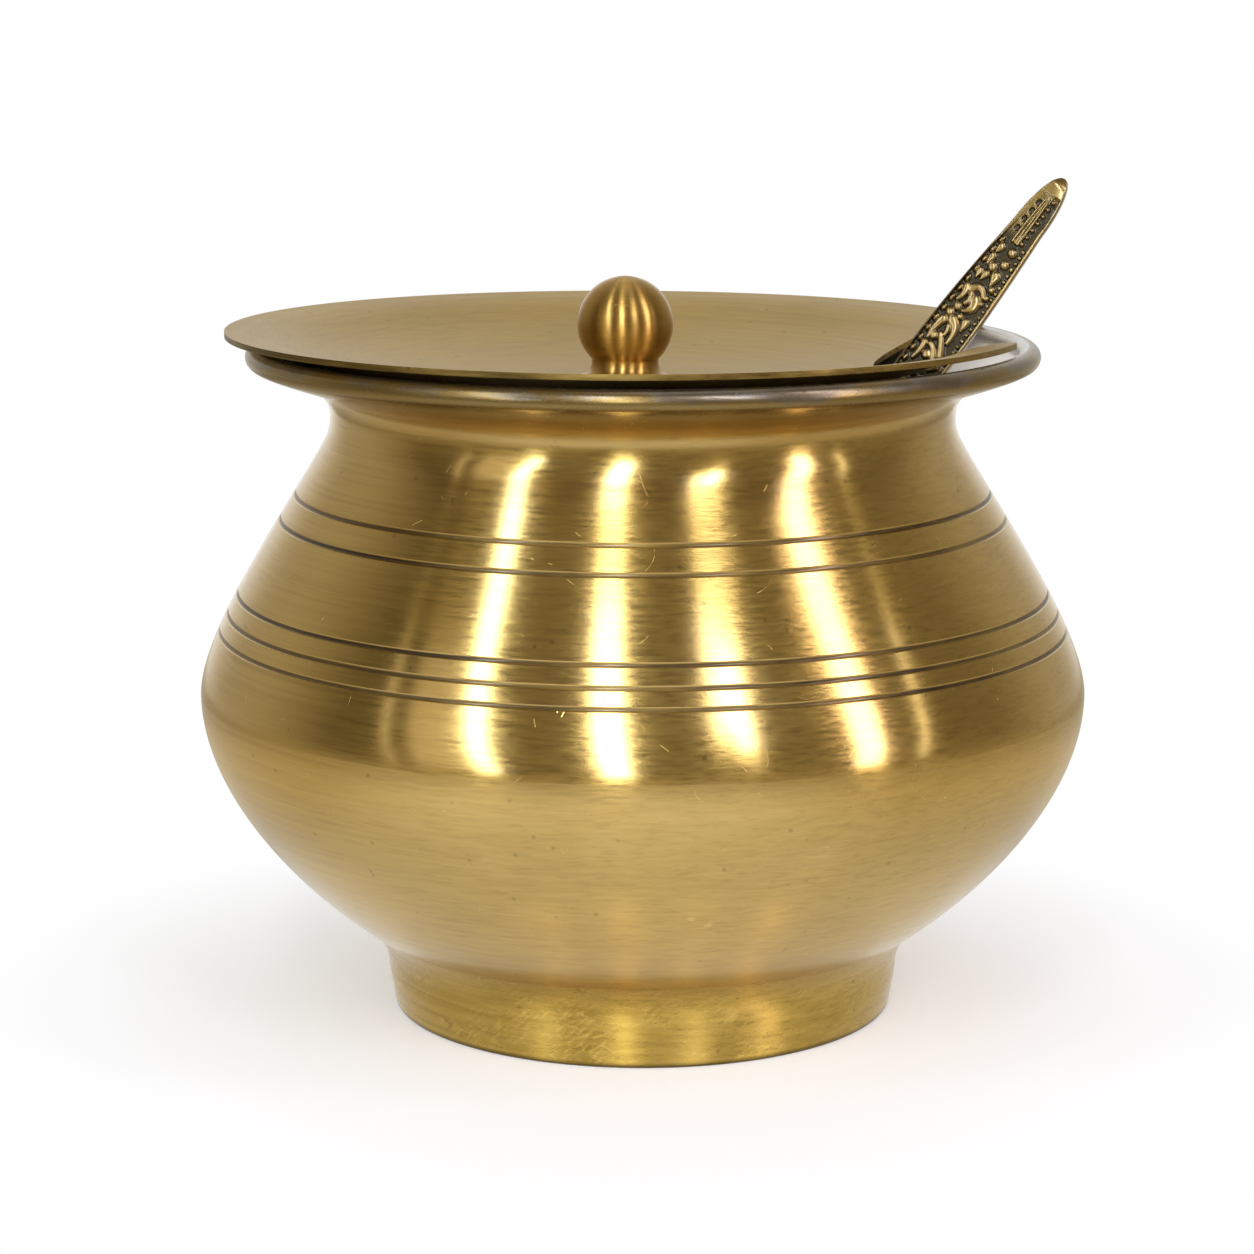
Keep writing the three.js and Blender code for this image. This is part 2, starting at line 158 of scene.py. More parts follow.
class SpoonSizes(PropertyGroup):
    lean: angle("Lean", "Lean of the handle from upright", 36.7)
    twist: angle("Twist", "Turn of the handle about its length", -19)
    overall: length("Length", "Length of the spoon", 117 * MM)
    thickness: length("Thickness", "Thickness of the handle", 1.8 * MM)
    neck_half_width: length("Neck Half Width", "Half width at the bowl", 2 * MM)
    middle_half_width: length("Middle Half Width", "Half width at the widest place", 2.95 * MM)
    middle: length("Middle", "From the tip to the widest place", 26 * MM)
    tip_half_width: length("Tip Half Width", "Half width behind the tip", 2.05 * MM)
    tip_length: length("Tip Length", "Length of the rounded tip", 7.4 * MM)
    nose_length: length("Nose Length", "How far the tip's front is rounded back", 1.5 * MM)
    nose_fall: length("Nose Fall", "How deep the tip's front is rounded back", 0.7 * MM)
    relief_height: length("Relief Height", "Height of the cast ornament", 0.42 * MM)
    bowl_half_width: length("Bowl Half Width", "Half width of the bowl", 9.5 * MM)
    bowl_half_length: length("Bowl Half Length", "Half length of the bowl", 13.5 * MM)
    bowl_depth: length("Bowl Depth", "Depth of the bowl", 4.5 * MM)
    bowl_wall: length("Bowl Wall", "Thickness of the bowl", 1.1 * MM)


class Finishes(PropertyGroup):
    brass: colour("Brass", "Satin brass of the pot", (0.67, 0.458, 0.135))
    brass_shade: colour("Brass Shade", "Duller brass in streaks and clouds", (0.56, 0.368, 0.092))
    lid_brass: colour("Lid Brass", "Matt brass of the lid", (0.455, 0.314, 0.1))
    knob_brass: colour("Knob Brass", "Warmer brass of the knob", (0.52, 0.315, 0.085))
    tin: colour("Tin", "Tin lining", (0.62, 0.595, 0.56))
    patina: colour("Patina", "Dark deposit in the spoon's recesses", (0.045, 0.036, 0.02))
    # The groove colour is painted shade, darkening the turned grooves.
    groove_shade: colour("Groove Brown", "Deposit in the turned grooves", (0.05, 0.029, 0.013))
    bead_brown: colour("Bead Brown", "Worn, darkened metal of the lip's bead", (0.19, 0.15, 0.105))
    bead_gold: colour("Bead Gold", "Brass worn through the tin of the bead", (0.25, 0.168, 0.058))
    brushing: share("Brushing", "How much the brushing draws the highlights out", 0.86)


class StudioSettings(PropertyGroup):
    lens: length("Focal Length", "Focal length on a 36 mm sensor", 103.9 * MM)
    distance: length("Distance", "Camera's distance from the pot's axis", 445.9 * MM)
    height: length("Height", "Camera's height above the floor", 133.7 * MM)
    pitch: angle("Pitch", "Downward tilt of the camera", 10.912)
    yaw: angle("Yaw", "Turn of the camera towards +X", -0.251)


class GheePotSettings(PropertyGroup):
    pot: PointerProperty(type=PotSizes)
    lid: PointerProperty(type=LidSizes)
    spoon: PointerProperty(type=SpoonSizes)
    finish: PointerProperty(type=Finishes)
    studio: PointerProperty(type=StudioSettings)


# Distances of the five turned grooves below the neck.
GROOVE_DROPS = [7.95 * MM, 11.05 * MM, 20.25 * MM, 22.65 * MM, 24.85 * MM]
LID_SHIFT = Vector((-2.2 * MM, 1.2 * MM, 0))
SEAT_GAP = 0.25 * MM
SPOON_TIP = Vector((51.8 * MM, 0.6 * MM, 103.6 * MM))


# Profiles. They lie in the XZ plane, with X as the radius.


def at(radius, height):
    return Vector((radius, 0, height))


def bezier(a, b, c, d, count):
    return interpolate_bezier(at(*a), at(*b), at(*c), at(*d), count)


def arc(centre, radius, start, end, count):
    """Points on an arc in the XZ plane, with its angles in radians."""
    turns = [start + (end - start) * i / (count - 1) for i in range(count)]
    return [centre + at(radius * math.cos(t), radius * math.sin(t)) for t in turns]


def beside(points, distance):
    """The line beside a profile, on its left for positive distances."""
    moved = []
    for i, p in enumerate(points):
        along = points[min(i + 1, len(points) - 1)] - points[max(i - 1, 0)]
        moved.append(p + at(-along.z, along.x).normalized() * distance)
    return moved


def along_height(points, height):
    """The place where a rising profile has a height, and its outward normal."""
    height = min(max(height, points[0].z), points[-1].z)
    for a, b in zip(points, points[1:]):
        if a.z <= height <= b.z:
            part = (height - a.z) / max(b.z - a.z, 1e-9)
            run = b - a
            return a.lerp(b, part), at(run.z, -run.x).normalized()
    raise ValueError("the profile has no such height")


def bowl_curve(pot, count=72):
    return bezier(
        (pot.bottom_flat_radius, pot.bottom_height),
        (pot.bottom_flat_radius + pot.bottom_roundness, pot.bottom_height + pot.bottom_rise),
        (pot.belly_radius, pot.belly_height - pot.bowl_fullness),
        (pot.belly_radius, pot.belly_height),
        count,
    )


def shoulder_curve(pot, count=72):
    return bezier(
        (pot.belly_radius, pot.belly_height),
        (pot.belly_radius, pot.belly_height + pot.shoulder_fullness),
        (pot.neck_radius, pot.neck_height - pot.neck_softness),
        (pot.neck_radius, pot.neck_height),
        count,
    )


def flare_curve(pot, count=28):
    slope = at(math.cos(pot.lip_slope), math.sin(pot.lip_slope))
    underside = at(pot.lip_radius, pot.lip_height) + at(slope.z, -slope.x) * pot.lip_bead_radius
    inward = underside - slope * pot.flare_reach
    start = pot.neck_height + pot.neck_straight
    return bezier(
        (pot.neck_radius, start),
        (pot.neck_radius, start + pot.flare_rise),
        (inward.x, inward.z),
        (underside.x, underside.z),
        count,
    )


def smooth_step(value):
    value = min(1, max(0, value))
    return value * value * (3 - 2 * value)


def eased_neck(pot, profile):
    """Runs the neck's upright stretch softly into the shoulder and the flare."""
    line = shoulder_curve(pot, 400)[:-1] + flare_curve(pot, 160)
    middle = pot.neck_height + 0.5 * pot.neck_straight
    moved = []
    for p in profile:
        above = p.z - middle
        near = smooth_step((4.2 * MM - above) / (2.6 * MM)) * smooth_step((6 * MM + above) / (3 * MM))
        if near == 0:
            moved.append(p)
            continue
        steps = [pot.neck_ease * i / 4 for i in range(-4, 5)]
        mean = sum(along_height(line, p.z + step)[0].x for step in steps) / len(steps)
        bump = 0.5 + 0.5 * math.cos(math.pi * min(1, abs(above) / (5 * MM)))
        moved.append(at(p.x + (mean - p.x) * near - pot.neck_inset * bump, p.z))
    return moved


# Meshes.


def spun(bm, profile, segments, closed=False):
    """Turns a profile round the Z axis and closes what it leaves on the axis."""
    verts = [bm.verts.new(p) for p in profile]
    edges = [bm.edges.new(pair) for pair in zip(verts, verts[1:])]
    if closed:
        edges.append(bm.edges.new((verts[-1], verts[0])))
    bmesh.ops.spin(
        bm,
        geom=verts + edges,
        cent=(0, 0, 0),
        axis=UP,
        angle=math.tau,
        steps=segments,
        use_merge=True,
    )
    bmesh.ops.remove_doubles(bm, verts=bm.verts, dist=1e-7)
    bmesh.ops.dissolve_degenerate(bm, edges=bm.edges, dist=1e-8)
    bmesh.ops.recalc_face_normals(bm, faces=bm.faces)


def vertex_layer(bm, name, rule):
    """Stores a number for each vertex, which a finish reads by the name."""
    layer = bm.verts.layers.float.new(name)
    for v in bm.verts:
        v[layer] = rule(v.co)


def piece_from(bm, name, materials, sharp=35):
    mesh = bpy.data.meshes.new(name)
    bm.to_mesh(mesh)
    bm.free()
    for polygon in mesh.polygons:
        polygon.use_smooth = True
    mesh.set_sharp_from_angle(angle=math.radians(sharp))
    for material in materials:
        mesh.materials.append(material)
    piece = bpy.data.objects.new(name, mesh)
    bpy.context.scene.collection.objects.link(piece)
    return piece


def fitted(piece, body, node):
    """Lets a piece move with its body and stand for its CAD node."""
    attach(piece, body)
    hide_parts(node)
    return piece


# Finishes.


class Finish:
    """A material whose nodes are added one after another."""

    def __init__(self, name):
        self.material = bpy.data.materials.new(name)
        self.material.use_nodes = True
        self.tree = self.material.node_tree
        self.tree.nodes.clear()
        self.output = self.tree.nodes.new("ShaderNodeOutputMaterial")

    def node(self, kind, values=(), **settings):
        made = self.tree.nodes.new(kind)
        for name, value in settings.items():
            setattr(made, name, value)
        for socket, value in dict(values).items():
            if isinstance(value, bpy.types.NodeSocket):
                self.tree.links.new(value, made.inputs[socket])
            else:
                made.inputs[socket].default_value = value
        return made

    def math(self, operation, a, b=0.0, clamp=False):
        made = self.node("ShaderNodeMath", {0: a, 1: b}, operation=operation, use_clamp=clamp)
        return made.outputs[0]

    def mix(self, factor, a, b):
        made = self.node(
            "ShaderNodeMix", {"Factor": factor}, data_type="RGBA", clamp_factor=True
        )
        for socket, value in ((made.inputs[6], a), (made.inputs[7], b)):
            if isinstance(value, bpy.types.NodeSocket):
                self.tree.links.new(value, socket)
            else:
                socket.default_value = (*value, 1)
        return made.outputs[2]

    def window(self, value, low, high):
        """Turns a value between two bounds into 0 to 1, smoothly."""
        made = self.node(
            "ShaderNodeMapRange",
            {"Value": value, "From Min": low, "From Max": high},
            interpolation_type="SMOOTHSTEP",
        )
        return made.outputs["Result"]

    def spread(self, value, low, high, to_low, to_high):
        made = self.node(
            "ShaderNodeMapRange",
            {"Value": value, "From Min": low, "From Max": high, "To Min": to_low, "To Max": to_high},
        )
        return made.outputs["Result"]

    def noise(self, vector, scale=1.0, detail=2.0, roughness=0.5, distortion=0.0):
        made = self.node(
            "ShaderNodeTexNoise",
            {
                "Vector": vector,
                "Scale": scale,
                "Detail": detail,
                "Roughness": roughness,
                "Distortion": distortion,
            },
        )
        return made.outputs["Fac"]

    def place(self, centre=(0, 0, 0)):
        """Object coordinates, counted from a centre."""
        coordinates = self.node("ShaderNodeTexCoord").outputs["Object"]
        back = tuple(-c for c in centre)
        return self.node(
            "ShaderNodeMapping", {"Vector": coordinates, "Location": back}
        ).outputs["Vector"]

    def turned_place(self, place, around, across):
        """Coordinates that change slowly round the axis and fast across the brushing."""
        parts = self.node("ShaderNodeSeparateXYZ", {"Vector": place})
        x, y, z = parts.outputs
        radius = self.math("SQRT", self.math("ADD", self.math("POWER", x, 2), self.math("POWER", y, 2)))
        slow = self.math("ADD", self.math("MULTIPLY", x, around), self.math("MULTIPLY", y, 0.7 * around))
        return self.node(
            "ShaderNodeCombineXYZ",
            {"X": slow, "Y": self.math("MULTIPLY", radius, across), "Z": self.math("MULTIPLY", z, across)},
        ).outputs["Vector"]

    def round_tangent(self, place):
        """The direction round the axis, which the brushing follows."""
        crossed = self.node(
            "ShaderNodeVectorMath", {0: (0, 0, 1), 1: place}, operation="CROSS_PRODUCT"
        ).outputs["Vector"]
        return self.node(
            "ShaderNodeVectorMath", {0: crossed}, operation="NORMALIZE"
        ).outputs["Vector"]

    def hairlines(self, place, scale, rarity):
        """Thin curved scratches: the contour lines of a soft noise, kept in a few places."""
        swirl = self.noise(place, scale=scale, detail=0.0, distortion=0.6)
        line = self.math("ABSOLUTE", self.math("SUBTRACT", swirl, 0.5))
        thin = self.window(line, 0.0026, 0.0)
        keep = self.window(self.noise(place, scale=scale * 3.1, detail=1.0), rarity, rarity + 0.05)
        return self.math("MULTIPLY", thin, keep)

    def specks(self, place, scale, size):
        """Tiny dots in the cells of a random pattern, in one cell out of a few."""
        cells = self.node("ShaderNodeTexVoronoi", {"Vector": place, "Scale": scale})
        dot = self.window(cells.outputs["Distance"], size, 0.4 * size)
        chosen = self.node("ShaderNodeSeparateColor", {"Color": cells.outputs["Color"]}).outputs[0]
        return self.math("MULTIPLY", dot, self.window(chosen, 0.72, 0.74))

    def bump(self, height, distance, normal=None):
        values = {"Height": height, "Distance": distance}
        if normal is not None:
            values["Normal"] = normal
        return self.node("ShaderNodeBump", values).outputs["Normal"]

    def metal(self, values):
        shader = self.node("ShaderNodeBsdfPrincipled", {"Metallic": 1.0, **values})
        self.tree.links.new(shader.outputs["BSDF"], self.output.inputs["Surface"])
        return self.material


def brushed_brass(name, bright, dull, brushing, centre=(0, 0, 0), roughness=0.19, fine=2500, grain=1.0):
    """Brass brushed round an axis, with fine streaks, clouds, hair scratches and specks."""
    finish = Finish(name)
    place = finish.place(centre)
    fine_streaks = finish.noise(finish.turned_place(place, 400, fine), detail=2.0, roughness=0.6)
    wide_streaks = finish.noise(finish.turned_place(place, 160, 1300), detail=3.0, roughness=0.7)
    clouds = finish.noise(place, scale=34, detail=3.0)
    tone = finish.math(
        "ADD", finish.math("MULTIPLY", wide_streaks, 0.5), finish.math("MULTIPLY", clouds, 0.5)
    )
    shade = finish.mix(finish.window(tone, 0.3, 0.7), dull, bright)
    scored = finish.math("MULTIPLY", finish.window(fine_streaks, 0.5, 0.32), 0.24 * grain)
    shade = finish.mix(scored, shade, tuple(0.6 * c for c in dull))
    hair = finish.hairlines(place, 150, 0.6)
    shade = finish.mix(
        finish.math("MULTIPLY", hair, 0.35), shade, tuple(min(1, 1.5 * c) for c in bright)
    )
    dots = finish.specks(place, 420, 0.16)
    shade = finish.mix(finish.math("MULTIPLY", dots, 0.4), shade, tuple(0.35 * c for c in dull))
    swing = 0.05 * grain
    rough = finish.spread(fine_streaks, 0.25, 0.75, roughness - swing, roughness + swing)
    rough = finish.math("ADD", rough, finish.math("MULTIPLY", clouds, 0.03 * grain))
    rough = finish.math("ADD", rough, finish.math("MULTIPLY", hair, 0.12))
    normal = finish.bump(fine_streaks, 1.0e-5 * grain)
    normal = finish.bump(hair, 1.0e-5, normal)
    finish.metal(
        {
            "Base Color": shade,
            "Roughness": rough,
            "Anisotropic": brushing,
            "Anisotropic Rotation": 0.25,
            "Tangent": finish.round_tangent(place),
            "Normal": normal,
        }
    )
    return finish


def lacquered(finish):
    """A thin clear lacquer, which gives the highlights their white cores."""
    shader = shader_of(finish)
    shader.inputs["Coat Weight"].default_value = 0.2
    shader.inputs["Coat Roughness"].default_value = 0.14
    shader.inputs["Coat IOR"].default_value = 2.6
    return finish.material


def bowl_brass(finishes):
    finish = brushed_brass("bowl_brass", finishes.brass, finishes.brass_shade, finishes.brushing)
    return lacquered(finish)


def shader_of(finish):
    return next(n for n in finish.tree.nodes if n.type == "BSDF_PRINCIPLED")


def link_source(finish, socket):
    return socket.links[0].from_socket


def shell_brass(finishes):
    """The upper half's brass, with painted shade in the grooves, in a band at the neck and under the lip."""
    finish = brushed_brass("shell_brass", finishes.brass, finishes.brass_shade, finishes.brushing)
    shader = shader_of(finish)
    place = finish.place()
    groove = finish.node("ShaderNodeAttribute", attribute_name="groove").outputs["Fac"]
    wear = finish.noise(finish.turned_place(place, 40, 500), detail=4.0, roughness=0.7)
    height = finish.node("ShaderNodeSeparateXYZ", {"Vector": place}).outputs["Z"]
    ragged = finish.math("MULTIPLY", finish.math("SUBTRACT", wear, 0.5), 0.004)
    uneven = finish.math("ADD", height, ragged)
    # Painted shade: a faint darker band at the neck and a strong darker brown band under the lip, ragged at
    # its edges.
    low = finish.math("MULTIPLY", finish.window(uneven, 0.0735, 0.076), 0.24)
    high = finish.math(
        "MULTIPLY", finish.window(uneven, 0.0782, 0.0804), finish.spread(wear, 0.3, 0.7, 0.92, 0.7)
    )
    neck_and_lip_shade = finish.math("MAXIMUM", low, high)
    brass = link_source(finish, shader.inputs["Base Color"])
    brown = (0.32 * finishes.brass_shade[0], 0.28 * finishes.brass_shade[1], 0.15 * finishes.brass_shade[2])
    shade = finish.mix(neck_and_lip_shade, brass, brown)
    # Painted shade in the turned grooves, broken up in places.
    depth = finish.window(groove, 0.2, 0.85)
    broken = finish.spread(wear, 0.35, 0.65, 0.4, 1.0)
    shade = finish.mix(finish.math("MULTIPLY", depth, broken), shade, finishes.groove_shade)
    finish.tree.links.new(shade, shader.inputs["Base Color"])
    rough = link_source(finish, shader.inputs["Roughness"])
    rough = finish.math("ADD", rough, finish.math("MULTIPLY", depth, 0.3))
    finish.tree.links.new(rough, shader.inputs["Roughness"])
    return lacquered(finish)


def lip_metal(finishes):
    """The tin of the inside and of the lip, worn through to brass on the bead, with the tin inside painted
    lighter as painted light.
    """
    finish = brushed_brass(
        "lip_metal", finishes.tin, tuple(0.8 * c for c in finishes.tin), 0.2, roughness=0.27, grain=0.5
    )
    shader = shader_of(finish)
    place = finish.place()
    tin = finish.node("ShaderNodeAttribute", attribute_name="tin").outputs["Fac"]
    bead = finish.node("ShaderNodeAttribute", attribute_name="bead").outputs["Fac"]
    wear = finish.noise(finish.turned_place(place, 60, 420), detail=4.0, roughness=0.7)
    smears = finish.noise(place, scale=130, detail=3.0)
    ragged = finish.math("MULTIPLY", finish.math("SUBTRACT", wear, 0.5), 0.7)
    covered = finish.window(finish.math("ADD", tin, ragged), 0.5, 0.72)
    worn = finish.mix(
        finish.window(smears, 0.38, 0.62), finishes.bead_brown, tuple(0.42 * c for c in finishes.tin)
    )
    gold = finish.math("SUBTRACT", finish.math("ADD", smears, ragged), finish.math("MULTIPLY", bead, 0.35))
    worn = finish.mix(finish.window(gold, 0.0, 0.28), worn, finishes.bead_gold)
    # Painted light: the tin inside is painted lighter than the tin colour.
    inside = finish.window(tin, 0.98, 1.0)
    tin_with_lighter_inside = finish.mix(
        inside, link_source(finish, shader.inputs["Base Color"]), tuple(1.35 * c for c in finishes.tin)
    )
    finish.tree.links.new(finish.mix(covered, worn, tin_with_lighter_inside), shader.inputs["Base Color"])
    rough = link_source(finish, shader.inputs["Roughness"])
    rough = finish.math("ADD", rough, finish.math("MULTIPLY", inside, 0.18))
    finish.tree.links.new(rough, shader.inputs["Roughness"])
    shader.inputs["Metallic"].default_value = 0.85
    return finish.material


def tin_lining(finishes):
    """The tin inside the bowl, painted lighter than the tin colour like that inside the upper half: painted
    light.
    """
    finish = brushed_brass(
        "tin_lining",
        tuple(1.35 * c for c in finishes.tin),
        tuple(1.25 * c for c in finishes.tin),
        0.2,
        roughness=0.45,
        grain=0.5,
    )
    shader_of(finish).inputs["Metallic"].default_value = 0.85
    return finish.material


def foot_brass(finishes):
    """The foot's brass, rubbed by hand in slanting strokes that leave brighter patches."""
    finish = brushed_brass(
        "foot_brass",
        (0.9 * finishes.brass[0], 0.87 * finishes.brass[1], 0.72 * finishes.brass[2]),
        (0.72 * finishes.brass_shade[0], 0.69 * finishes.brass_shade[1], 0.5 * finishes.brass_shade[2]),
        0.7,
        roughness=0.27,
    )
    shader = shader_of(finish)
    place = finish.place()
    parts = finish.node("ShaderNodeSeparateXYZ", {"Vector": place})
    x, y, z = parts.outputs
    around = finish.math("MULTIPLY", finish.math("ARCTAN2", x, finish.math("MULTIPLY", y, -1)), 0.0315)
    flat = finish.node("ShaderNodeCombineXYZ", {"X": around, "Y": z}).outputs["Vector"]
    strokes = []
    for turn in (38, -24):
        slanted = finish.node(
            "ShaderNodeMapping",
            {"Vector": flat, "Rotation": (0, 0, math.radians(turn)), "Scale": (0.0022, 0.0004, 1)},
            vector_type="TEXTURE",
        ).outputs["Vector"]
        strokes.append(finish.noise(slanted, detail=3.0, roughness=0.65))
    mark = finish.math("MAXIMUM", finish.window(strokes[0], 0.5, 0.68), finish.window(strokes[1], 0.56, 0.7))
    patches = finish.window(finish.noise(flat, scale=110, detail=2.0), 0.42, 0.6)
    marks = finish.math("MULTIPLY", mark, patches)
    brass = link_source(finish, shader.inputs["Base Color"])
    shade = finish.mix(
        finish.math("MULTIPLY", marks, 0.3), brass, tuple(min(1, 1.4 * c) for c in finishes.brass)
    )
    stains = finish.window(finish.noise(flat, scale=230, detail=3.0, distortion=0.4), 0.66, 0.76)
    shade = finish.mix(
        finish.math("MULTIPLY", stains, 0.6), shade, tuple(0.3 * c for c in finishes.brass_shade)
    )
    # Darker blotches towards the bottom, and a painted contact shade along the bottom edge where the foot
    # meets the floor.
    low_blotches = finish.window(finish.noise(flat, scale=260, detail=5.0, roughness=0.7), 0.6, 0.72)
    low = finish.window(z, 0.005, 0.0005)
    shade = finish.mix(
        finish.math("MAXIMUM", finish.math("MULTIPLY", low_blotches, low), finish.window(z, 0.0009, 0.0002)),
        shade,
        tuple(0.25 * c for c in finishes.brass_shade),
    )
    shade = finish.mix(finish.window(z, 0.0095, 0.0135), shade, finishes.brass)
    finish.tree.links.new(shade, shader.inputs["Base Color"])
    normal = finish.bump(marks, 1.8e-5, link_source(finish, shader.inputs["Normal"]))
    finish.tree.links.new(normal, shader.inputs["Normal"])
    return finish.material


def lid_brass(finishes, centre):
    return brushed_brass(
        "lid_brass",
        finishes.lid_brass,
        tuple(0.8 * c for c in finishes.lid_brass),
        0.3,
        centre=centre,
        roughness=0.44,
        fine=1700,
        grain=0.6,
    ).material


def shaded_lid_edge(finishes, centre):
    """The lid's edge faces: a darker, mottled copy of the brass, which is painted shade."""
    return brushed_brass(
        "shaded_lid_edge",
        tuple(0.58 * c for c in finishes.brass),
        tuple(0.15 * c for c in finishes.brass_shade),
        0.2,
        centre=centre,
        roughness=0.38,
    ).material


def knob_brass(finishes, centre):
    return brushed_brass(
        "knob_brass",
        finishes.knob_brass,
        tuple(0.8 * c for c in finishes.knob_brass),
        0.93,
        centre=centre,
        roughness=0.32,
        fine=3200,
        grain=0.5,
    ).material


def dull_metal(finishes, centre):
    return brushed_brass(
        "dull_metal",
        tuple(0.8 * c for c in finishes.tin),
        tuple(0.5 * c for c in finishes.tin),
        0.3,
        centre=centre,
        roughness=0.4,
    ).material


def antique_brass(finishes):
    """Cast brass, rubbed bright on what stands proud and nearly black in the recesses."""
    finish = Finish("antique_brass")
    place = finish.place()
    relief = finish.node("ShaderNodeAttribute", attribute_name="relief").outputs["Fac"]
    blotches = finish.noise(place, scale=240, detail=2.0)
    level = finish.math(
        "ADD", relief, finish.math("MULTIPLY", finish.math("SUBTRACT", blotches, 0.5), 0.25)
    )
    rubbed = finish.window(level, 0.1, 0.62)
    plain = tuple(0.5 * c for c in finishes.lid_brass)
    polished = (0.78 * finishes.lid_brass[0], 0.76 * finishes.lid_brass[1], 0.84 * finishes.lid_brass[2])
    tone = finish.mix(finish.window(level, 0.84, 1.04), plain, polished)
    shade = finish.mix(rubbed, finishes.patina, tone)
    finish.metal(
        {
            "Base Color": shade,
            "Roughness": finish.spread(rubbed, 0, 1, 0.45, 0.3),
            "Coat Weight": 1.0,
            "Coat Roughness": 0.08,
        }
    )
    return finish.material


# The pot.


def shoulder_with_grooves(pot):
    """The shoulder's outside, with a rounded cut at each groove."""
    curve = shoulder_curve(pot, 400)
    half = pot.groove_width / 2
    centres = [pot.neck_height - drop for drop in GROOVE_DROPS]
    heights = {
        p.z for p in shoulder_curve(pot) if all(abs(p.z - c) > 1.4 * half for c in centres)
    }
    cuts = {}
    for centre in centres:
        for share_of_half in (-1.25, -1, -0.6, -0.3, 0, 0.3, 0.6, 1, 1.25):
            height = centre + share_of_half * half
            heights.add(height)
            cuts[height] = pot.groove_depth * max(0, 1 - share_of_half**2)
    profile = []
    for height in sorted(heights):
        spot, outward = along_height(curve, height)
        profile.append(spot - outward * cuts.get(height, 0))
    return profile


def groove_depth_at(pot, curve, co):
    radius = math.hypot(co.x, co.y)
    if not pot.belly_height < co.z < pot.neck_height:
        return 0
    spot, outward = along_height(curve, co.z)
    below = (spot.x - radius) * outward.x
    if below > 1.5 * pot.groove_depth:
        return 0
    return min(1, max(0, below / pot.groove_depth))


class GHEE_OT_lower_bowl(Operator):
    """Models the lower half: a raised bowl with a flat bottom"""

    bl_idname = "ghee.lower_bowl"
    bl_label = "Lower Bowl"

    def execute(self, context):
        settings = context.scene.ghee_pot
        pot = settings.pot
        outside = bowl_curve(pot)
        inside = beside(outside, pot.wall)[:-1]
        profile = [
            at(0, pot.bottom_height),
            *outside,
            at(pot.belly_radius - pot.wall, pot.belly_height),
            *reversed(inside),
            at(0, pot.bottom_height + pot.wall),
        ]
        bm = bmesh.new()
        spun(bm, profile, pot.segments)
        piece = piece_from(
            bm, "bowl_half", [bowl_brass(settings.finish), tin_lining(settings.finish)]
        )
        for polygon in piece.data.polygons:
            outwards = Vector((polygon.center.x, polygon.center.y, 0))
            inside = polygon.normal.dot(outwards) < 0 or polygon.normal.z > 0.5
            polygon.material_index = 1 if inside else 0
        fitted(piece, "pot", "lower_bowl")
        return {"FINISHED"}


class GHEE_OT_upper_shell(Operator):
    """Models the upper half: shoulder with turned grooves, neck, flare and lip"""

    bl_idname = "ghee.upper_shell"
    bl_label = "Upper Shell"

    def execute(self, context):
        settings = context.scene.ghee_pot
        pot = settings.pot
        bead = at(pot.lip_radius, pot.lip_height)
        flare = flare_curve(pot)
        inner_flare = [
            p
            for p in beside(flare, pot.wall)
            if (p - bead).length > 1.1 * pot.lip_bead_radius
        ]
        shoulder = shoulder_curve(pot)
        inner_shoulder = beside(shoulder, pot.wall)
        inner_shoulder[0] = at(pot.belly_radius - pot.wall, pot.belly_height)
        bead_arc = arc(
            bead, pot.lip_bead_radius, pot.lip_slope - math.pi / 2, pot.lip_slope + math.pi, 28
        )
        straight = [
            at(pot.neck_radius, pot.neck_height + pot.neck_straight * i / 12) for i in range(1, 12)
        ]
        profile = [
            *eased_neck(pot, [*shoulder_with_grooves(pot), *straight, *flare[:-1]]),
            *bead_arc,
            *reversed(inner_flare),
            *reversed(inner_shoulder),
        ]
        bm = bmesh.new()
        spun(bm, profile, pot.segments, closed=True)
        curve = shoulder_curve(pot, 200)
        lines = [shoulder + flare, inner_shoulder + inner_flare]

        def lining(height):
            spots = []
            for line in lines:
                for a, b in zip(line, line[1:]):
                    if a.z <= height <= b.z:
                        spots.append(a.lerp(b, (height - a.z) / max(b.z - a.z, 1e-9)).x)
                        break
            return sum(spots) / 2 if len(spots) == 2 else pot.belly_radius

        vertex_layer(bm, "groove", lambda co: groove_depth_at(pot, curve, co))
        vertex_layer(bm, "tin", lambda co: tin_at(pot, lining, co))
        vertex_layer(bm, "bead", lambda co: bead_at(pot, co))
        piece = piece_from(
            bm, "upper_half", [shell_brass(settings.finish), lip_metal(settings.finish)]
        )
        for polygon in piece.data.polygons:
            tinned = tin_at(pot, lining, polygon.center) == 1
            on_bead = turn_on_bead(pot, polygon.center) is not None
            polygon.material_index = 1 if tinned or on_bead else 0
        fitted(piece, "pot", "upper_shell")
        return {"FINISHED"}


def turn_on_bead(pot, co):
    """The angle round the bead's section, or None away from the bead."""
    spoke = at(math.hypot(co.x, co.y), co.z) - at(pot.lip_radius, pot.lip_height)
    if spoke.length > 1.03 * pot.lip_bead_radius:
        return None
    return math.atan2(spoke.z, spoke.x)


def tin_at(pot, lining, co):
    """1 on the tinned inside, and less and less over the bead's top."""
    turn = turn_on_bead(pot, co)
    if turn is None:
        return 1 if math.hypot(co.x, co.y) < lining(co.z) else 0
    return min(1, max(0, 0.5 - 0.7 * math.cos(turn)))


def bead_at(pot, co):
    """1 on the bead's outer side and top, falling off towards its underside."""
    turn = turn_on_bead(pot, co)
    if turn is None:
        return 0
    return min(1, max(0, 0.75 + math.sin(turn)))


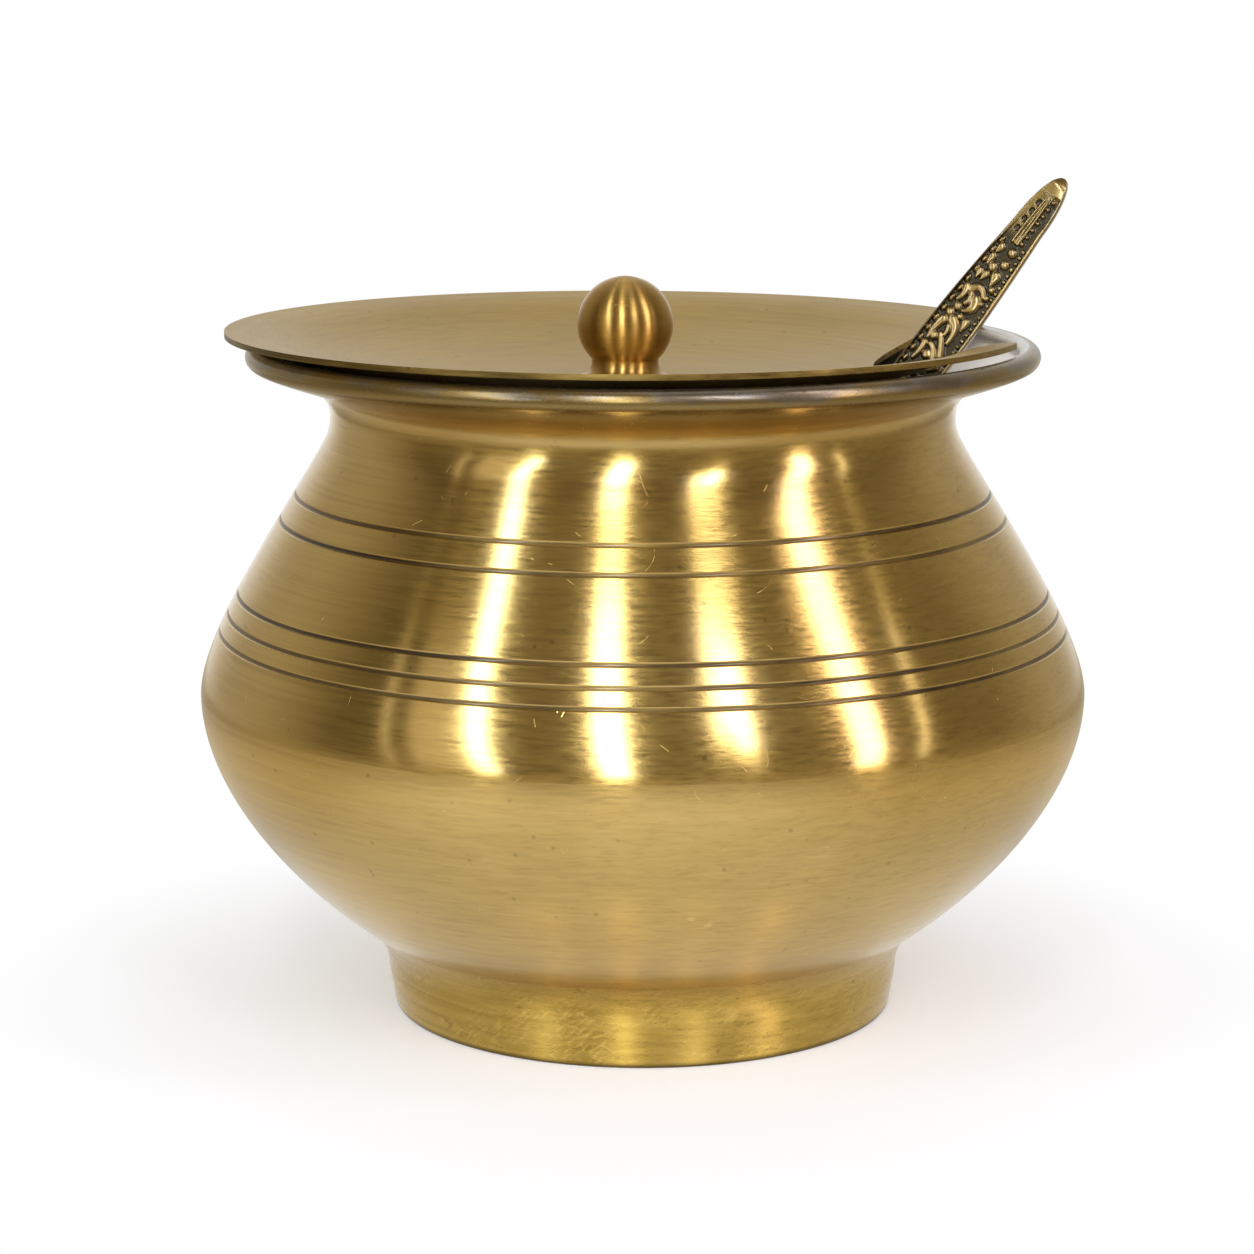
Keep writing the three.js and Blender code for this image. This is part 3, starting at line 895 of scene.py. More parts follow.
class GHEE_OT_foot_ring(Operator):
    """Models the turned foot ring with its fillet of braze"""

    bl_idname = "ghee.foot_ring"
    bl_label = "Foot Ring"

    def execute(self, context):
        settings = context.scene.ghee_pot
        pot = settings.pot
        under = beside(bowl_curve(pot, 400), -0.02 * MM)

        def under_bowl(radius):
            return next(p for p in under if p.x >= radius)

        edge = pot.foot_edge_round
        fillet = pot.braze_fillet
        top = under_bowl(pot.foot_top_radius + fillet)
        rise = under_bowl(top.x + 0.5 * MM) - top
        corner_height = top.z - fillet * rise.z / rise.x
        corner = at(pot.foot_top_radius, corner_height)
        start = at(pot.foot_top_radius - 0.06 * MM, corner_height - 1.15 * fillet)
        sunk = next(p for p in beside(bowl_curve(pot, 400), 0.06 * MM) if p.x >= top.x)
        low_pull = start.lerp(corner, 0.72)
        high_pull = top.lerp(corner, 0.72)
        outer = bezier(
            (start.x, start.z), (low_pull.x, low_pull.z), (high_pull.x, high_pull.z), (sunk.x, sunk.z), 24
        )
        inner_radii = [
            top.x + (pot.foot_inner_radius - top.x) * i / 8 for i in range(1, 9)
        ]
        profile = [
            at(pot.foot_inner_radius, 0.4 * edge),
            at(pot.foot_inner_radius + 0.4 * edge, 0),
            *arc(at(pot.foot_radius - edge, edge), edge, -math.pi / 2, 0, 7),
            *outer,
            *[under_bowl(r) for r in inner_radii],
        ]
        bm = bmesh.new()
        spun(bm, profile, pot.segments, closed=True)
        piece = piece_from(bm, "foot", [foot_brass(settings.finish)])
        fitted(piece, "pot", "foot_ring")
        return {"FINISHED"}


# The lid.


def lid_height_at(lid, radius, blend=0):
    """Height of the dish's upper face above its flat middle, with the brim's crease eased."""
    if blend:
        steps = [radius + blend * (i - 3) / 3 for i in range(7)]
        eased = sum(lid_height_at(lid, step) for step in steps) / 7
        near_brim = abs(radius - lid.radius + lid.brim_width) < 2.2 * blend
        return min(eased, lid.depth) if near_brim else lid_height_at(lid, radius)
    brim_inner = lid.radius - lid.brim_width
    dish_depth = lid.depth - lid.brim_width * math.tan(lid.brim_slope)
    reach = brim_inner - lid.flat_radius
    curve_radius = (reach**2 + dish_depth**2) / (2 * dish_depth)
    out = min(max(0, radius - lid.flat_radius), reach)
    height = curve_radius - math.sqrt(curve_radius**2 - out**2)
    return height + max(0, radius - brim_inner) * math.tan(lid.brim_slope)


def lid_place(pot, lid):
    """Where the lid rests: the place round the lip's crest that comes nearest sets its height."""
    crest = pot.lip_height + pot.lip_bead_radius
    heights = []
    for step in range(73):
        turn = math.tau * step / 72
        seat = Vector((math.cos(turn), math.sin(turn), 0)) * pot.lip_radius - LID_SHIFT
        brim = (lid.radius - min(seat.length, lid.radius)) * math.tan(lid.seat_slope)
        under = lid.depth - brim - lid.seat_sheet
        drop = seat.x * math.sin(lid.side_tilt) + seat.y * math.sin(lid.back_tilt)
        heights.append(crest + SEAT_GAP - under + drop)
    centre = Vector((LID_SHIFT.x, LID_SHIFT.y, max(heights)))
    turned = Matrix.Rotation(-lid.back_tilt, 4, "X") @ Matrix.Rotation(lid.side_tilt, 4, "Y")
    return Matrix.Translation(centre) @ turned


def bite_outline(lid):
    """The outline of what the bite takes away, with its corners rounded."""
    centre = Vector((math.cos(lid.bite_azimuth), math.sin(lid.bite_azimuth), 0)) * lid.bite_distance
    to_corner = lid.radius - lid.bite_corner_radius
    from_bite = lid.bite_radius + lid.bite_corner_radius
    spread = math.acos(
        (to_corner**2 + lid.bite_distance**2 - from_bite**2) / (2 * to_corner * lid.bite_distance)
    )

    def around(middle, radius, start, end, count):
        turns = [start + (end - start) * i / (count - 1) for i in range(count)]
        return [middle + Vector((math.cos(t), math.sin(t), 0)) * radius for t in turns]

    def turn_of(a, b):
        return math.atan2(b.y - a.y, b.x - a.x)

    front_turn = lid.bite_azimuth - spread
    back_turn = lid.bite_azimuth + spread
    front = Vector((math.cos(front_turn), math.sin(front_turn), 0)) * to_corner
    back = Vector((math.cos(back_turn), math.sin(back_turn), 0)) * to_corner
    far = lid.radius + lid.bite_radius
    return [
        front.normalized() * far,
        *around(front, lid.bite_corner_radius, front_turn, turn_of(front, centre), 9),
        *around(centre, lid.bite_radius, turn_of(centre, front), turn_of(centre, back) - math.tau, 72)[1:-1],
        *around(back, lid.bite_corner_radius, turn_of(back, centre), back_turn, 9),
        back.normalized() * far,
    ]


def bite_cutter(lid):
    bm = bmesh.new()
    ring = [bm.verts.new(p - UP * lid.depth) for p in bite_outline(lid)]
    base = bm.faces.new(ring)
    raised = bmesh.ops.extrude_face_region(bm, geom=[base])
    moved = [g for g in raised["geom"] if isinstance(g, bmesh.types.BMVert)]
    bmesh.ops.translate(bm, verts=moved, vec=UP * 3 * lid.depth)
    bmesh.ops.recalc_face_normals(bm, faces=bm.faces)
    mesh = bpy.data.meshes.new("bite")
    bm.to_mesh(mesh)
    bm.free()
    cutter = bpy.data.objects.new("bite", mesh)
    bpy.context.scene.collection.objects.link(cutter)
    return cutter


def smoothed(piece):
    """The mesh of a piece with its modifiers worked in."""
    graph = bpy.context.evaluated_depsgraph_get()
    mesh = bpy.data.meshes.new_from_object(piece.evaluated_get(graph))
    piece.modifiers.clear()
    old = piece.data
    piece.data = mesh
    mesh.name = old.name
    bpy.data.meshes.remove(old)


class GHEE_OT_lid_dish(Operator):
    """Models the dished lid with the bite in its edge"""

    bl_idname = "ghee.lid_dish"
    bl_label = "Lid Dish"

    def execute(self, context):
        settings = context.scene.ghee_pot
        pot = settings.pot
        lid = settings.lid
        radii = [lid.hole_radius, 0.5 * (lid.hole_radius + lid.flat_radius)]
        reach = lid.radius - lid.flat_radius
        radii += [lid.flat_radius + reach * i / 60 for i in range(61)]
        over = [at(r, lid_height_at(lid, r, 2.4 * MM)) for r in radii]
        under = [p - UP * lid.sheet for p in over]
        bm = bmesh.new()
        spun(bm, [*under, *reversed(over)], pot.segments, closed=True)
        matrix = lid_place(pot, lid)
        centre = tuple(matrix.translation)
        piece = piece_from(
            bm,
            "lid_sheet",
            [lid_brass(settings.finish, centre), shaded_lid_edge(settings.finish, centre)],
        )
        cutter = bite_cutter(lid)
        cut = piece.modifiers.new("bite", "BOOLEAN")
        cut.object = cutter
        cut.solver = "EXACT"
        rounded = piece.modifiers.new("edge", "BEVEL")
        rounded.limit_method = "ANGLE"
        rounded.angle_limit = math.radians(50)
        rounded.width = lid.edge_round
        rounded.segments = 5
        smoothed(piece)
        bpy.data.meshes.remove(cutter.data)
        mesh = piece.data
        for polygon in mesh.polygons:
            polygon.use_smooth = True
            # The upright edge faces take the darker edge finish, which is painted shade.
            polygon.material_index = 1 if abs(polygon.normal.z) < 0.7 else 0
        mesh.set_sharp_from_angle(angle=math.radians(50))
        mesh.transform(matrix)
        fitted(piece, "lid", "lid_dish")
        return {"FINISHED"}


class GHEE_OT_lid_knob(Operator):
    """Models the ball knob on its waisted stem"""

    bl_idname = "ghee.lid_knob"
    bl_label = "Lid Knob"

    def execute(self, context):
        settings = context.scene.ghee_pot
        lid = settings.lid
        bore = lid.screw_radius + lid.screw_clearance
        low = -math.acos(lid.knob_neck_radius / lid.knob_ball_radius)
        base = -0.92 * lid.stack_gap
        flare = bezier(
            (lid.knob_base_radius, base + 0.55 * MM),
            (lid.knob_base_radius - 0.75 * (lid.knob_base_radius - lid.knob_neck_radius), 0.5 * MM),
            (lid.knob_neck_radius, 0.55 * lid.knob_neck_height),
            (lid.knob_neck_radius, lid.knob_neck_height),
            12,
        )
        ball = arc(at(0, lid.knob_ball_height), lid.knob_ball_radius, low, math.pi / 2, 44)
        profile = [
            at(0, 6 * MM),
            at(bore, 6 * MM),
            at(bore, base),
            at(lid.knob_base_radius - 0.25 * MM, base),
            at(lid.knob_base_radius, base + 0.25 * MM),
            *flare,
            *ball[:-1],
            at(0, lid.knob_ball_height + lid.knob_ball_radius),
        ]
        bm = bmesh.new()
        spun(bm, profile, 128)
        matrix = lid_place(settings.pot, lid) @ Matrix.Translation(UP * lid.stack_gap)
        bmesh.ops.transform(bm, matrix=matrix, verts=bm.verts)
        piece = piece_from(
            bm, "ball_knob", [knob_brass(settings.finish, tuple(matrix.translation))], sharp=50
        )
        fitted(piece, "lid", "lid_knob")
        return {"FINISHED"}


class GHEE_OT_knob_fixings(Operator):
    """Models the screw and the washer that hold the knob from below"""

    bl_idname = "ghee.knob_fixings"
    bl_label = "Knob Screw and Washer"

    def execute(self, context):
        settings = context.scene.ghee_pot
        lid = settings.lid
        place = lid_place(settings.pot, lid)
        metal = dull_metal(settings.finish, tuple(place.translation))

        hole = lid.screw_radius + lid.screw_clearance
        edge = 0.12 * MM
        low, out = -lid.washer_thickness, lid.washer_radius
        washer_profile = [
            at(hole, low + edge), at(hole + edge, low), at(out - edge, low), at(out, low + edge),
            at(out, -edge), at(out - edge, 0), at(hole + edge, 0), at(hole, -edge),
        ]
        bm = bmesh.new()
        spun(bm, washer_profile, 64, closed=True)
        washer_place = place @ Matrix.Translation(-UP * (lid.sheet + lid.stack_gap))
        bmesh.ops.transform(bm, matrix=washer_place, verts=bm.verts)
        washer = piece_from(bm, "sheet_washer", [metal])
        fitted(washer, "lid", "knob_washer")

        head = lid.screw_head_radius
        top = lid.screw_reach + lid.sheet + lid.washer_thickness + 3 * lid.stack_gap
        dome = bezier(
            (0, -lid.screw_head_height),
            (0.6 * head, -lid.screw_head_height),
            (head, -0.8 * lid.screw_head_height),
            (head, -0.25 * lid.screw_head_height),
            14,
        )
        profile = [
            *dome,
            at(head, -edge), at(head - edge, 0), at(lid.screw_radius, 0),
            at(lid.screw_radius, top - 0.4 * MM), at(lid.screw_radius - 0.4 * MM, top), at(0, top),
        ]
        bm = bmesh.new()
        spun(bm, profile, 64)
        screw = piece_from(bm, "slotted_screw", [metal])
        slot_bm = bmesh.new()
        bmesh.ops.create_cube(slot_bm, size=1)
        size = (4 * head, lid.slot_width, 2 * lid.slot_depth)
        bmesh.ops.scale(slot_bm, vec=size, verts=slot_bm.verts)
        bmesh.ops.translate(slot_bm, vec=-UP * lid.screw_head_height, verts=slot_bm.verts)
        slot = piece_from(slot_bm, "slot", [])
        cut = screw.modifiers.new("slot", "BOOLEAN")
        cut.object = slot
        cut.solver = "EXACT"
        smoothed(screw)
        bpy.data.meshes.remove(slot.data)
        down = lid.sheet + lid.washer_thickness + 2 * lid.stack_gap
        screw.data.transform(place @ Matrix.Translation(-UP * down))
        screw.data.set_sharp_from_angle(angle=math.radians(35))
        fitted(screw, "lid", "knob_screw")
        return {"FINISHED"}


# The spoon. Its length lies along Z with the tip at the origin, its front faces -Y.


def handle_half_width(spoon, down):
    if down < spoon.tip_length:
        return spoon.tip_half_width * math.sqrt(max(0, 1 - (1 - down / spoon.tip_length) ** 2))
    if down < spoon.middle:
        part = (down - spoon.tip_length) / (spoon.middle - spoon.tip_length)
        gain = spoon.middle_half_width - spoon.tip_half_width
        return spoon.tip_half_width + gain * math.sin(part * math.pi / 2)
    handle = spoon.overall - 2 * spoon.bowl_half_length
    part = (down - spoon.middle) / (handle - spoon.middle)
    fall = (1 - math.cos(part * math.pi)) / 2
    return spoon.middle_half_width + (spoon.neck_half_width - spoon.middle_half_width) * fall


def stroke(points, thick, thin):
    """A line of round dabs along a bend between points, from thick to thin, in millimetres."""
    a, b, c = (Vector(p) for p in points)
    dabs = []
    count = max(6, round(((b - a).length + (c - b).length) / 0.14))
    for i in range(count + 1):
        t = i / count
        spot = a * (1 - t) ** 2 + b * 2 * t * (1 - t) + c * t**2
        dabs.append((spot.x, spot.y, thick + (thin - thick) * t))
    return dabs


def drop(across, down, length=0.9, lean=0.0, thick=0.42):
    """A drop, round above and pointed below."""
    middle = (across + 0.5 * lean, down + 0.5 * length)
    return stroke([(across, down), middle, (across + lean, down + length)], thick, 0.14)


def tip_leaf():
    """The long striated leaf behind the plain tip, with a column of beads beside it."""
    dabs = [(0.78, 3.2 + 1.05 * i, 0.3) for i in range(7)]
    for across in (-0.42, -0.02, 0.32):
        dabs += stroke([(0.5 * across, 3.0), (1.3 * across, 6.2), (across, 9.8)], 0.17, 0.26)
    return dabs


def scroll(down, side):
    """One length of the ornament: berries, drops and leaves along a winding stem."""
    dabs = [(0.5, 0.2, 0.5), (0.65, 1.9, 0.5), (-0.45, 2.9, 0.55), (1.25, 5.3, 0.4)]
    dabs += [(1.35, 6.5, 0.34), (1.3, 7.4, 0.3), (-1.1, 13.9, 0.5), (-0.3, 16.3, 0.6)]
    dabs += drop(-1.15, 0.3, 0.9, -0.1, 0.5)
    dabs += drop(-1.35, 1.9, 1.1, 0.1, 0.5)
    dabs += drop(0.65, 3.7, 1.3, 0.1, 0.6)
    dabs += drop(-1.45, 4.2, 0.9, 0.1, 0.45)
    dabs += drop(-0.6, 4.1, 0.9, -0.1, 0.45)
    dabs += drop(1.15, 10.4, 1.2, 0.1, 0.5)
    dabs += stroke([(-0.85, 6.6), (-0.1, 5.2), (0.95, 6.6)], 0.5, 0.34)
    dabs += stroke([(-1.55, 6.7), (-1.1, 7.5), (-1.55, 8.6)], 0.5, 0.24)
    dabs += stroke([(0.45, 7.6), (1.1, 8.6), (-0.05, 9.4)], 0.72, 0.28)
    dabs += stroke([(-0.45, 7.2), (-0.15, 7.9), (-0.45, 8.5)], 0.36, 0.28)
    dabs += [(-0.95, 9.3, 0.5), (-1.3, 10.4, 0.5), (0.1, 10.2, 0.4)]
    dabs += stroke([(-0.35, 11.1), (0.9, 11.4), (0.85, 13.8)], 0.62, 0.26)
    dabs += stroke([(-0.3, 12.0), (0.0, 12.5), (-0.1, 13.2)], 0.34, 0.22)
    dabs += stroke([(-1.4, 11.6), (-1.85, 12.9), (-1.65, 14.5)], 0.5, 0.24)
    dabs += stroke([(-0.5, 13.3), (0.35, 14.2), (1.1, 15.6)], 0.34, 0.42)
    dabs += stroke([(-0.8, 15.0), (0.2, 15.3), (0.9, 17.0)], 0.34, 0.4)
    dabs += stroke([(-1.55, 15.3), (-1.3, 16.4), (-1.6, 17.6)], 0.42, 0.26)
    dabs += stroke([(1.4, 16.9), (1.0, 17.9), (0.2, 18.3)], 0.46, 0.28)
    return [(side * across, down + below, 1.25 * radius) for across, below, radius in dabs]


def ornament(spoon):
    """The cast ornament down the handle, as round dabs of (across, down, radius) in mm."""
    handle = (spoon.overall - 2 * spoon.bowl_half_length) / MM
    dabs = tip_leaf()
    down, side = 10.9, 1
    while down < handle - 20:
        dabs += scroll(down, side)
        down += 18.8
        side = -side
    return dabs


def border_height(spoon, across, down):
    """The plain margins, a row of long beads on the left and small bars on the right."""
    half = handle_half_width(spoon, down * MM) / MM
    from_left, from_right = half + across, half - across
    left_margin = max(0.3, 0.95 - 0.08 * max(0, down - 3))
    right_margin = min(0.48, 0.25 + 0.02 * down)
    best = 0.9 * min(1, max(0, (left_margin - from_left) / 0.12))
    best = max(best, 0.95 * min(1, max(0, (right_margin - from_right) / 0.1)))
    if down > 9.6:
        along = ((down - 0.4) % 1.55) - 0.775
        bead = 1 - (along / 0.62) ** 2 - ((from_left - left_margin - 0.32) / 0.32) ** 2
        best = max(best, 1.0 * math.sqrt(max(0, bead)))
    if down > 10:
        along = (down % 0.88) - 0.44
        row = abs(from_right - right_margin - 0.26)
        bar = min(1, max(0, (0.26 - abs(along)) / 0.09), max(0, (0.24 - row) / 0.07))
        best = max(best, 0.75 * bar)
    return best


def relief_map(spoon):
    """A function that gives the relief's height, 0 to 1, at a place on the handle."""
    bins = {}
    for dab in ornament(spoon):
        for key in range(int(dab[1] - dab[2]), int(dab[1] + dab[2]) + 1):
            bins.setdefault(key, []).append(dab)
    handle = (spoon.overall - 2 * spoon.bowl_half_length) / MM
    pits = [(-0.7, 4.2), (-0.82, 5.5), (-0.95, 6.8), (-1.0, 8.2), (0.1, 9.5)]

    def height(across, down):
        half = handle_half_width(spoon, down * MM) / MM
        ground = 0.92 * min(1, max(0, (3.7 - down) / 1.2))
        if 2.4 < down < 10.5:
            lane = min(1, max(0, (across - 0.44) / 0.12)) * min(1, max(0, (down - 2.3) / 1.4))
            leaf = 0.7 * min(1, (10.5 - down) / 4)
            ground = max(ground, leaf) * (1 - 0.92 * lane)
            for x, y in pits:
                near = math.hypot(across - x, 0.7 * (down - y)) / 0.36
                ground *= min(1, max(0.1, near**3))
        if down > handle - 5:
            ground = 0.92 * min(1, (down - handle + 5) / 2)
        best = max(ground, border_height(spoon, across, down))
        room = half + across - 0.76 if across < 0 else half - across - 0.92
        inside = min(1, max(0, room / 0.12)) if down > 9 else 1
        for x, y, radius in bins.get(int(down), ()):
            gap = ((across - x) ** 2 + (down - y) ** 2) / radius**2
            if gap < 1:
                best = max(best, inside * (0.25 + 0.75 * math.sqrt(1 - gap)))
        return best

    return height


class GHEE_OT_spoon(Operator):
    """Models the cast spoon, with its ornament as real relief"""

    bl_idname = "ghee.spoon"
    bl_label = "Spoon"

    def execute(self, context):
        settings = context.scene.ghee_pot
        spoon = settings.spoon
        handle = spoon.overall - 2 * spoon.bowl_half_length
        end = handle + 1.5 * spoon.bowl_wall
        front = -spoon.thickness / 2
        relief = relief_map(spoon)
        across_count, down_count = 72, 840
        shown, shown_share = 40 * MM, 0.56
        bm = bmesh.new()
        bmesh.ops.create_grid(bm, x_segments=across_count, y_segments=down_count, size=1)
        layer = bm.verts.layers.float.new("relief")
        for v in bm.verts:
            part = (1 - v.co.y) / 2
            if part < shown_share:
                down = shown * part / shown_share
            else:
                down = shown + (end - shown) * (part - shown_share) / (1 - shown_share)
            half = handle_half_width(spoon, min(down, handle))
            across = v.co.x * half
            height = relief(across / MM, down / MM)
            crown = 0.12 * MM * v.co.x**2
            fall = 0.08 * MM * max(0, abs(v.co.x) - 0.96) / 0.04
            nose = max(0, 1 - down / spoon.nose_length) ** 2
            back = (crown + fall) * (1 - nose) + spoon.nose_fall * nose
            v.co = Vector((across, front + (1 - height) * spoon.relief_height + back, -down))
            v[layer] = height
        bmesh.ops.remove_doubles(bm, verts=bm.verts, dist=2e-6)
        self.close_back(bm, layer, spoon, front)
        self.add_bowl(bm, layer, spoon, front + spoon.relief_height)
        bmesh.ops.recalc_face_normals(bm, faces=bm.faces)
        matrix = (
            Matrix.Translation(SPOON_TIP)
            @ Matrix.Rotation(spoon.lean, 4, "Y")
            @ Matrix.Rotation(spoon.twist, 4, "Z")
        )
        bmesh.ops.transform(bm, matrix=matrix, verts=bm.verts)
        piece = piece_from(bm, "cast_spoon", [antique_brass(settings.finish)], sharp=60)
        fitted(piece, "spoon", "spoon")
        return {"FINISHED"}

    def close_back(self, bm, layer, spoon, front):
        """Draws the front's rim backwards in rounded steps and closes the back."""
        for back, widen in ((0.5, 1.0), (0.75, 1.0), (0.88, 0.985), (0.96, 0.965), (1.0, 0.94)):
            rim = [e for e in bm.edges if e.is_boundary]
            made = bmesh.ops.extrude_edge_only(bm, edges=rim)
            for v in made["geom"]:
                if isinstance(v, bmesh.types.BMVert):
                    v.co.x *= widen
                    v.co.z -= max(0, spoon.tip_length + v.co.z) * (1 - widen)
                    v.co.y = front + back * spoon.thickness
                    v[layer] = 0.85
        rim = [e for e in bm.edges if e.is_boundary]
        bmesh.ops.contextual_create(bm, geom=rim)

    def add_bowl(self, bm, layer, spoon, face):
        """The oval bowl, open towards the front."""
        outside = arc(at(0, 0), 1, 0, -math.pi / 2, 20)
        share_of_wall = spoon.bowl_wall / spoon.bowl_half_width
        inside = arc(at(0, 0), 1 - share_of_wall, -math.pi / 2, 0, 20)
        other = bmesh.new()
        spun(other, [*outside, *inside, outside[0]], 72)
        size = (spoon.bowl_half_width, spoon.bowl_half_length, spoon.bowl_depth)
        bmesh.ops.scale(other, vec=size, verts=other.verts)
        middle = spoon.overall - spoon.bowl_half_length
        place = Matrix.Translation((0, face, -middle)) @ Matrix.Rotation(math.pi / 2, 4, "X")
        bmesh.ops.transform(other, matrix=place, verts=other.verts)
        mesh = bpy.data.meshes.new("spoon_bowl")
        other.to_mesh(mesh)
        other.free()
        known = len(bm.verts)
        bm.from_mesh(mesh)
        bpy.data.meshes.remove(mesh)
        bm.verts.ensure_lookup_table()
        for v in bm.verts[known:]:
            v[layer] = 0.8


# The stage.


def floor_finish():
    """A pale floor that turns plain white away from the pot and keeps its soft shadow near it. In
    reflections it shows painted light brighter ahead of the pot, and painted shade beside the pot and
    further off.
    """
    finish = Finish("pale_floor")
    matt = finish.node("ShaderNodeBsdfDiffuse", {"Color": (0.8, 0.8, 0.8, 1)}).outputs["BSDF"]
    shaded = finish.node("ShaderNodeBsdfDiffuse", {"Color": (0.78, 0.79, 0.84, 1)}).outputs["BSDF"]
    glow = finish.node("ShaderNodeEmission", {"Color": (1, 1, 1, 1), "Strength": 0.34})
    near = finish.node(
        "ShaderNodeAddShader", {0: shaded, 1: glow.outputs["Emission"]}
    ).outputs["Shader"]
    x, y, z = finish.node("ShaderNodeSeparateXYZ", {"Vector": finish.place()}).outputs
    # Painted light seen in reflections: the floor near the pot glows brighter ahead of it than beside it.
    aside = finish.math("MULTIPLY", finish.math("ABSOLUTE", x), 0.45)
    ahead = finish.math("SUBTRACT", finish.math("MULTIPLY", y, -1), aside)
    level = finish.spread(ahead, 0.02, 0.1, 0.62, 0.9)
    pale = finish.node("ShaderNodeEmission", {"Color": (1, 1, 1, 1), "Strength": level})
    away = finish.node(
        "ShaderNodeVectorMath", {0: finish.place()}, operation="LENGTH"
    ).outputs["Value"]
    polish = finish.node(
        "ShaderNodeBsdfGlossy", {"Color": finish.spread(away, 0.052, 0.075, 0.24, 0), "Roughness": 0.2}
    )
    mirrored = finish.node(
        "ShaderNodeAddShader", {0: pale.outputs["Emission"], 1: polish.outputs["BSDF"]}
    ).outputs["Shader"]
    path = finish.node("ShaderNodeLightPath")
    by_gloss = finish.math(
        "MAXIMUM", path.outputs["Is Glossy Ray"], path.outputs["Is Transmission Ray"]
    )
    # Painted shade seen in reflections: the floor is darker beside the pot and further off.
    turn = finish.math("ARCTAN2", x, finish.math("MULTIPLY", y, -1))
    ahead_only = finish.window(finish.math("ABSOLUTE", turn), math.radians(170), math.radians(140))
    dim = finish.math("MULTIPLY", finish.window(away, 0.115, 0.25), ahead_only)
    painted_shade_beside_pot = finish.math(
        "MAXIMUM",
        finish.window(turn, math.radians(12), math.radians(60)),
        finish.window(turn, math.radians(-35), math.radians(-80)),
    )
    shade = finish.mix(finish.math("MULTIPLY", painted_shade_beside_pot, by_gloss), (1, 1, 1), (0.66, 0.6, 0.46))
    shade = finish.mix(finish.math("MULTIPLY", dim, by_gloss), shade, (0.38, 0.33, 0.24))
    white = finish.node("ShaderNodeEmission", {"Color": shade, "Strength": 1.0})
    close = finish.node(
        "ShaderNodeMixShader", {0: by_gloss, 1: near, 2: mirrored}
    ).outputs["Shader"]
    lift = finish.math(
        "MINIMUM",
        finish.window(away, 0.042, 0.095),
        finish.math("MAXIMUM", path.outputs["Is Camera Ray"], finish.window(away, 0.05, 0.125)),
    )
    lifted = finish.node(
        "ShaderNodeMixShader", {0: lift, 1: close, 2: white.outputs["Emission"]}
    ).outputs["Shader"]
    seen = finish.math("MAXIMUM", path.outputs["Is Camera Ray"], by_gloss)
    mixed = finish.node("ShaderNodeMixShader", {0: seen, 1: matt, 2: lifted})
    finish.tree.links.new(mixed.outputs["Shader"], finish.output.inputs["Surface"])
    return finish.material


def surround_finish(name, dark, gloss):
    """The dim side of the studio, which shows as dark bands between the lamps in the brass."""
    finish = Finish(name)
    place = finish.place()
    x, y, z = finish.node("ShaderNodeSeparateXYZ", {"Vector": place}).outputs
    turn = finish.math("ARCTAN2", x, finish.math("MULTIPLY", y, -1))

    def sector(start, end):
        return finish.window(turn, math.radians(start), math.radians(end))

    hollow = finish.math("MULTIPLY", sector(-56, -72), sector(-96, -82))
    shade = finish.mix(finish.math("MULTIPLY", hollow, 0.5), dark, tuple(0.4 * c for c in dark))
    side = finish.math("MAXIMUM", sector(-84, -118), sector(96, 132))
    shade = finish.mix(side, shade, (0.47, 0.44, 0.37))
    behind = finish.math("MAXIMUM", sector(-132, -165), sector(138, 168))
    shade = finish.mix(behind, shade, (0.9, 0.9, 0.9))
    glow = finish.node("ShaderNodeEmission", {"Color": shade, "Strength": 1.0})
    away = finish.node("ShaderNodeVectorMath", {0: place}, operation="LENGTH").outputs["Value"]
    sheen = finish.node(
        "ShaderNodeBsdfGlossy",
        {"Color": finish.spread(away, 0.35, 0.8, gloss, 0.2 * gloss), "Roughness": 0.15},
    )
    both = finish.node(
        "ShaderNodeAddShader", {0: glow.outputs["Emission"], 1: sheen.outputs["BSDF"]}
    )
    finish.tree.links.new(both.outputs["Shader"], finish.output.inputs["Surface"])
    return finish.material


def white_world():
    world = bpy.data.worlds.new("white_studio")
    world.use_nodes = True
    nodes, links = world.node_tree.nodes, world.node_tree.links
    nodes.clear()
    output = nodes.new("ShaderNodeOutputWorld")
    fill = nodes.new("ShaderNodeBackground")
    fill.inputs["Color"].default_value = (1, 1, 1, 1)
    fill.inputs["Strength"].default_value = 0.45
    white = nodes.new("ShaderNodeBackground")
    white.inputs["Color"].default_value = (1, 1, 1, 1)
    white.inputs["Strength"].default_value = 1.0
    path = nodes.new("ShaderNodeLightPath")
    either = nodes.new("ShaderNodeMath")
    either.operation = "MAXIMUM"
    any_of = nodes.new("ShaderNodeMath")
    any_of.operation = "MAXIMUM"
    mixed = nodes.new("ShaderNodeMixShader")
    links.new(path.outputs["Is Camera Ray"], either.inputs[0])
    links.new(path.outputs["Is Glossy Ray"], either.inputs[1])
    links.new(either.outputs[0], any_of.inputs[0])
    links.new(path.outputs["Is Transmission Ray"], any_of.inputs[1])
    links.new(any_of.outputs[0], mixed.inputs[0])
    links.new(fill.outputs[0], mixed.inputs[1])
    links.new(white.outputs[0], mixed.inputs[2])
    links.new(mixed.outputs[0], output.inputs["Surface"])
    bpy.context.scene.world = world


def direction(azimuth, elevation):
    """A direction from the pot: azimuth 0 is towards the camera, 90 towards +X."""
    turn, rise = math.radians(azimuth), math.radians(elevation)
    level = math.cos(rise)
    return Vector((math.sin(turn) * level, -math.cos(turn) * level, math.sin(rise)))


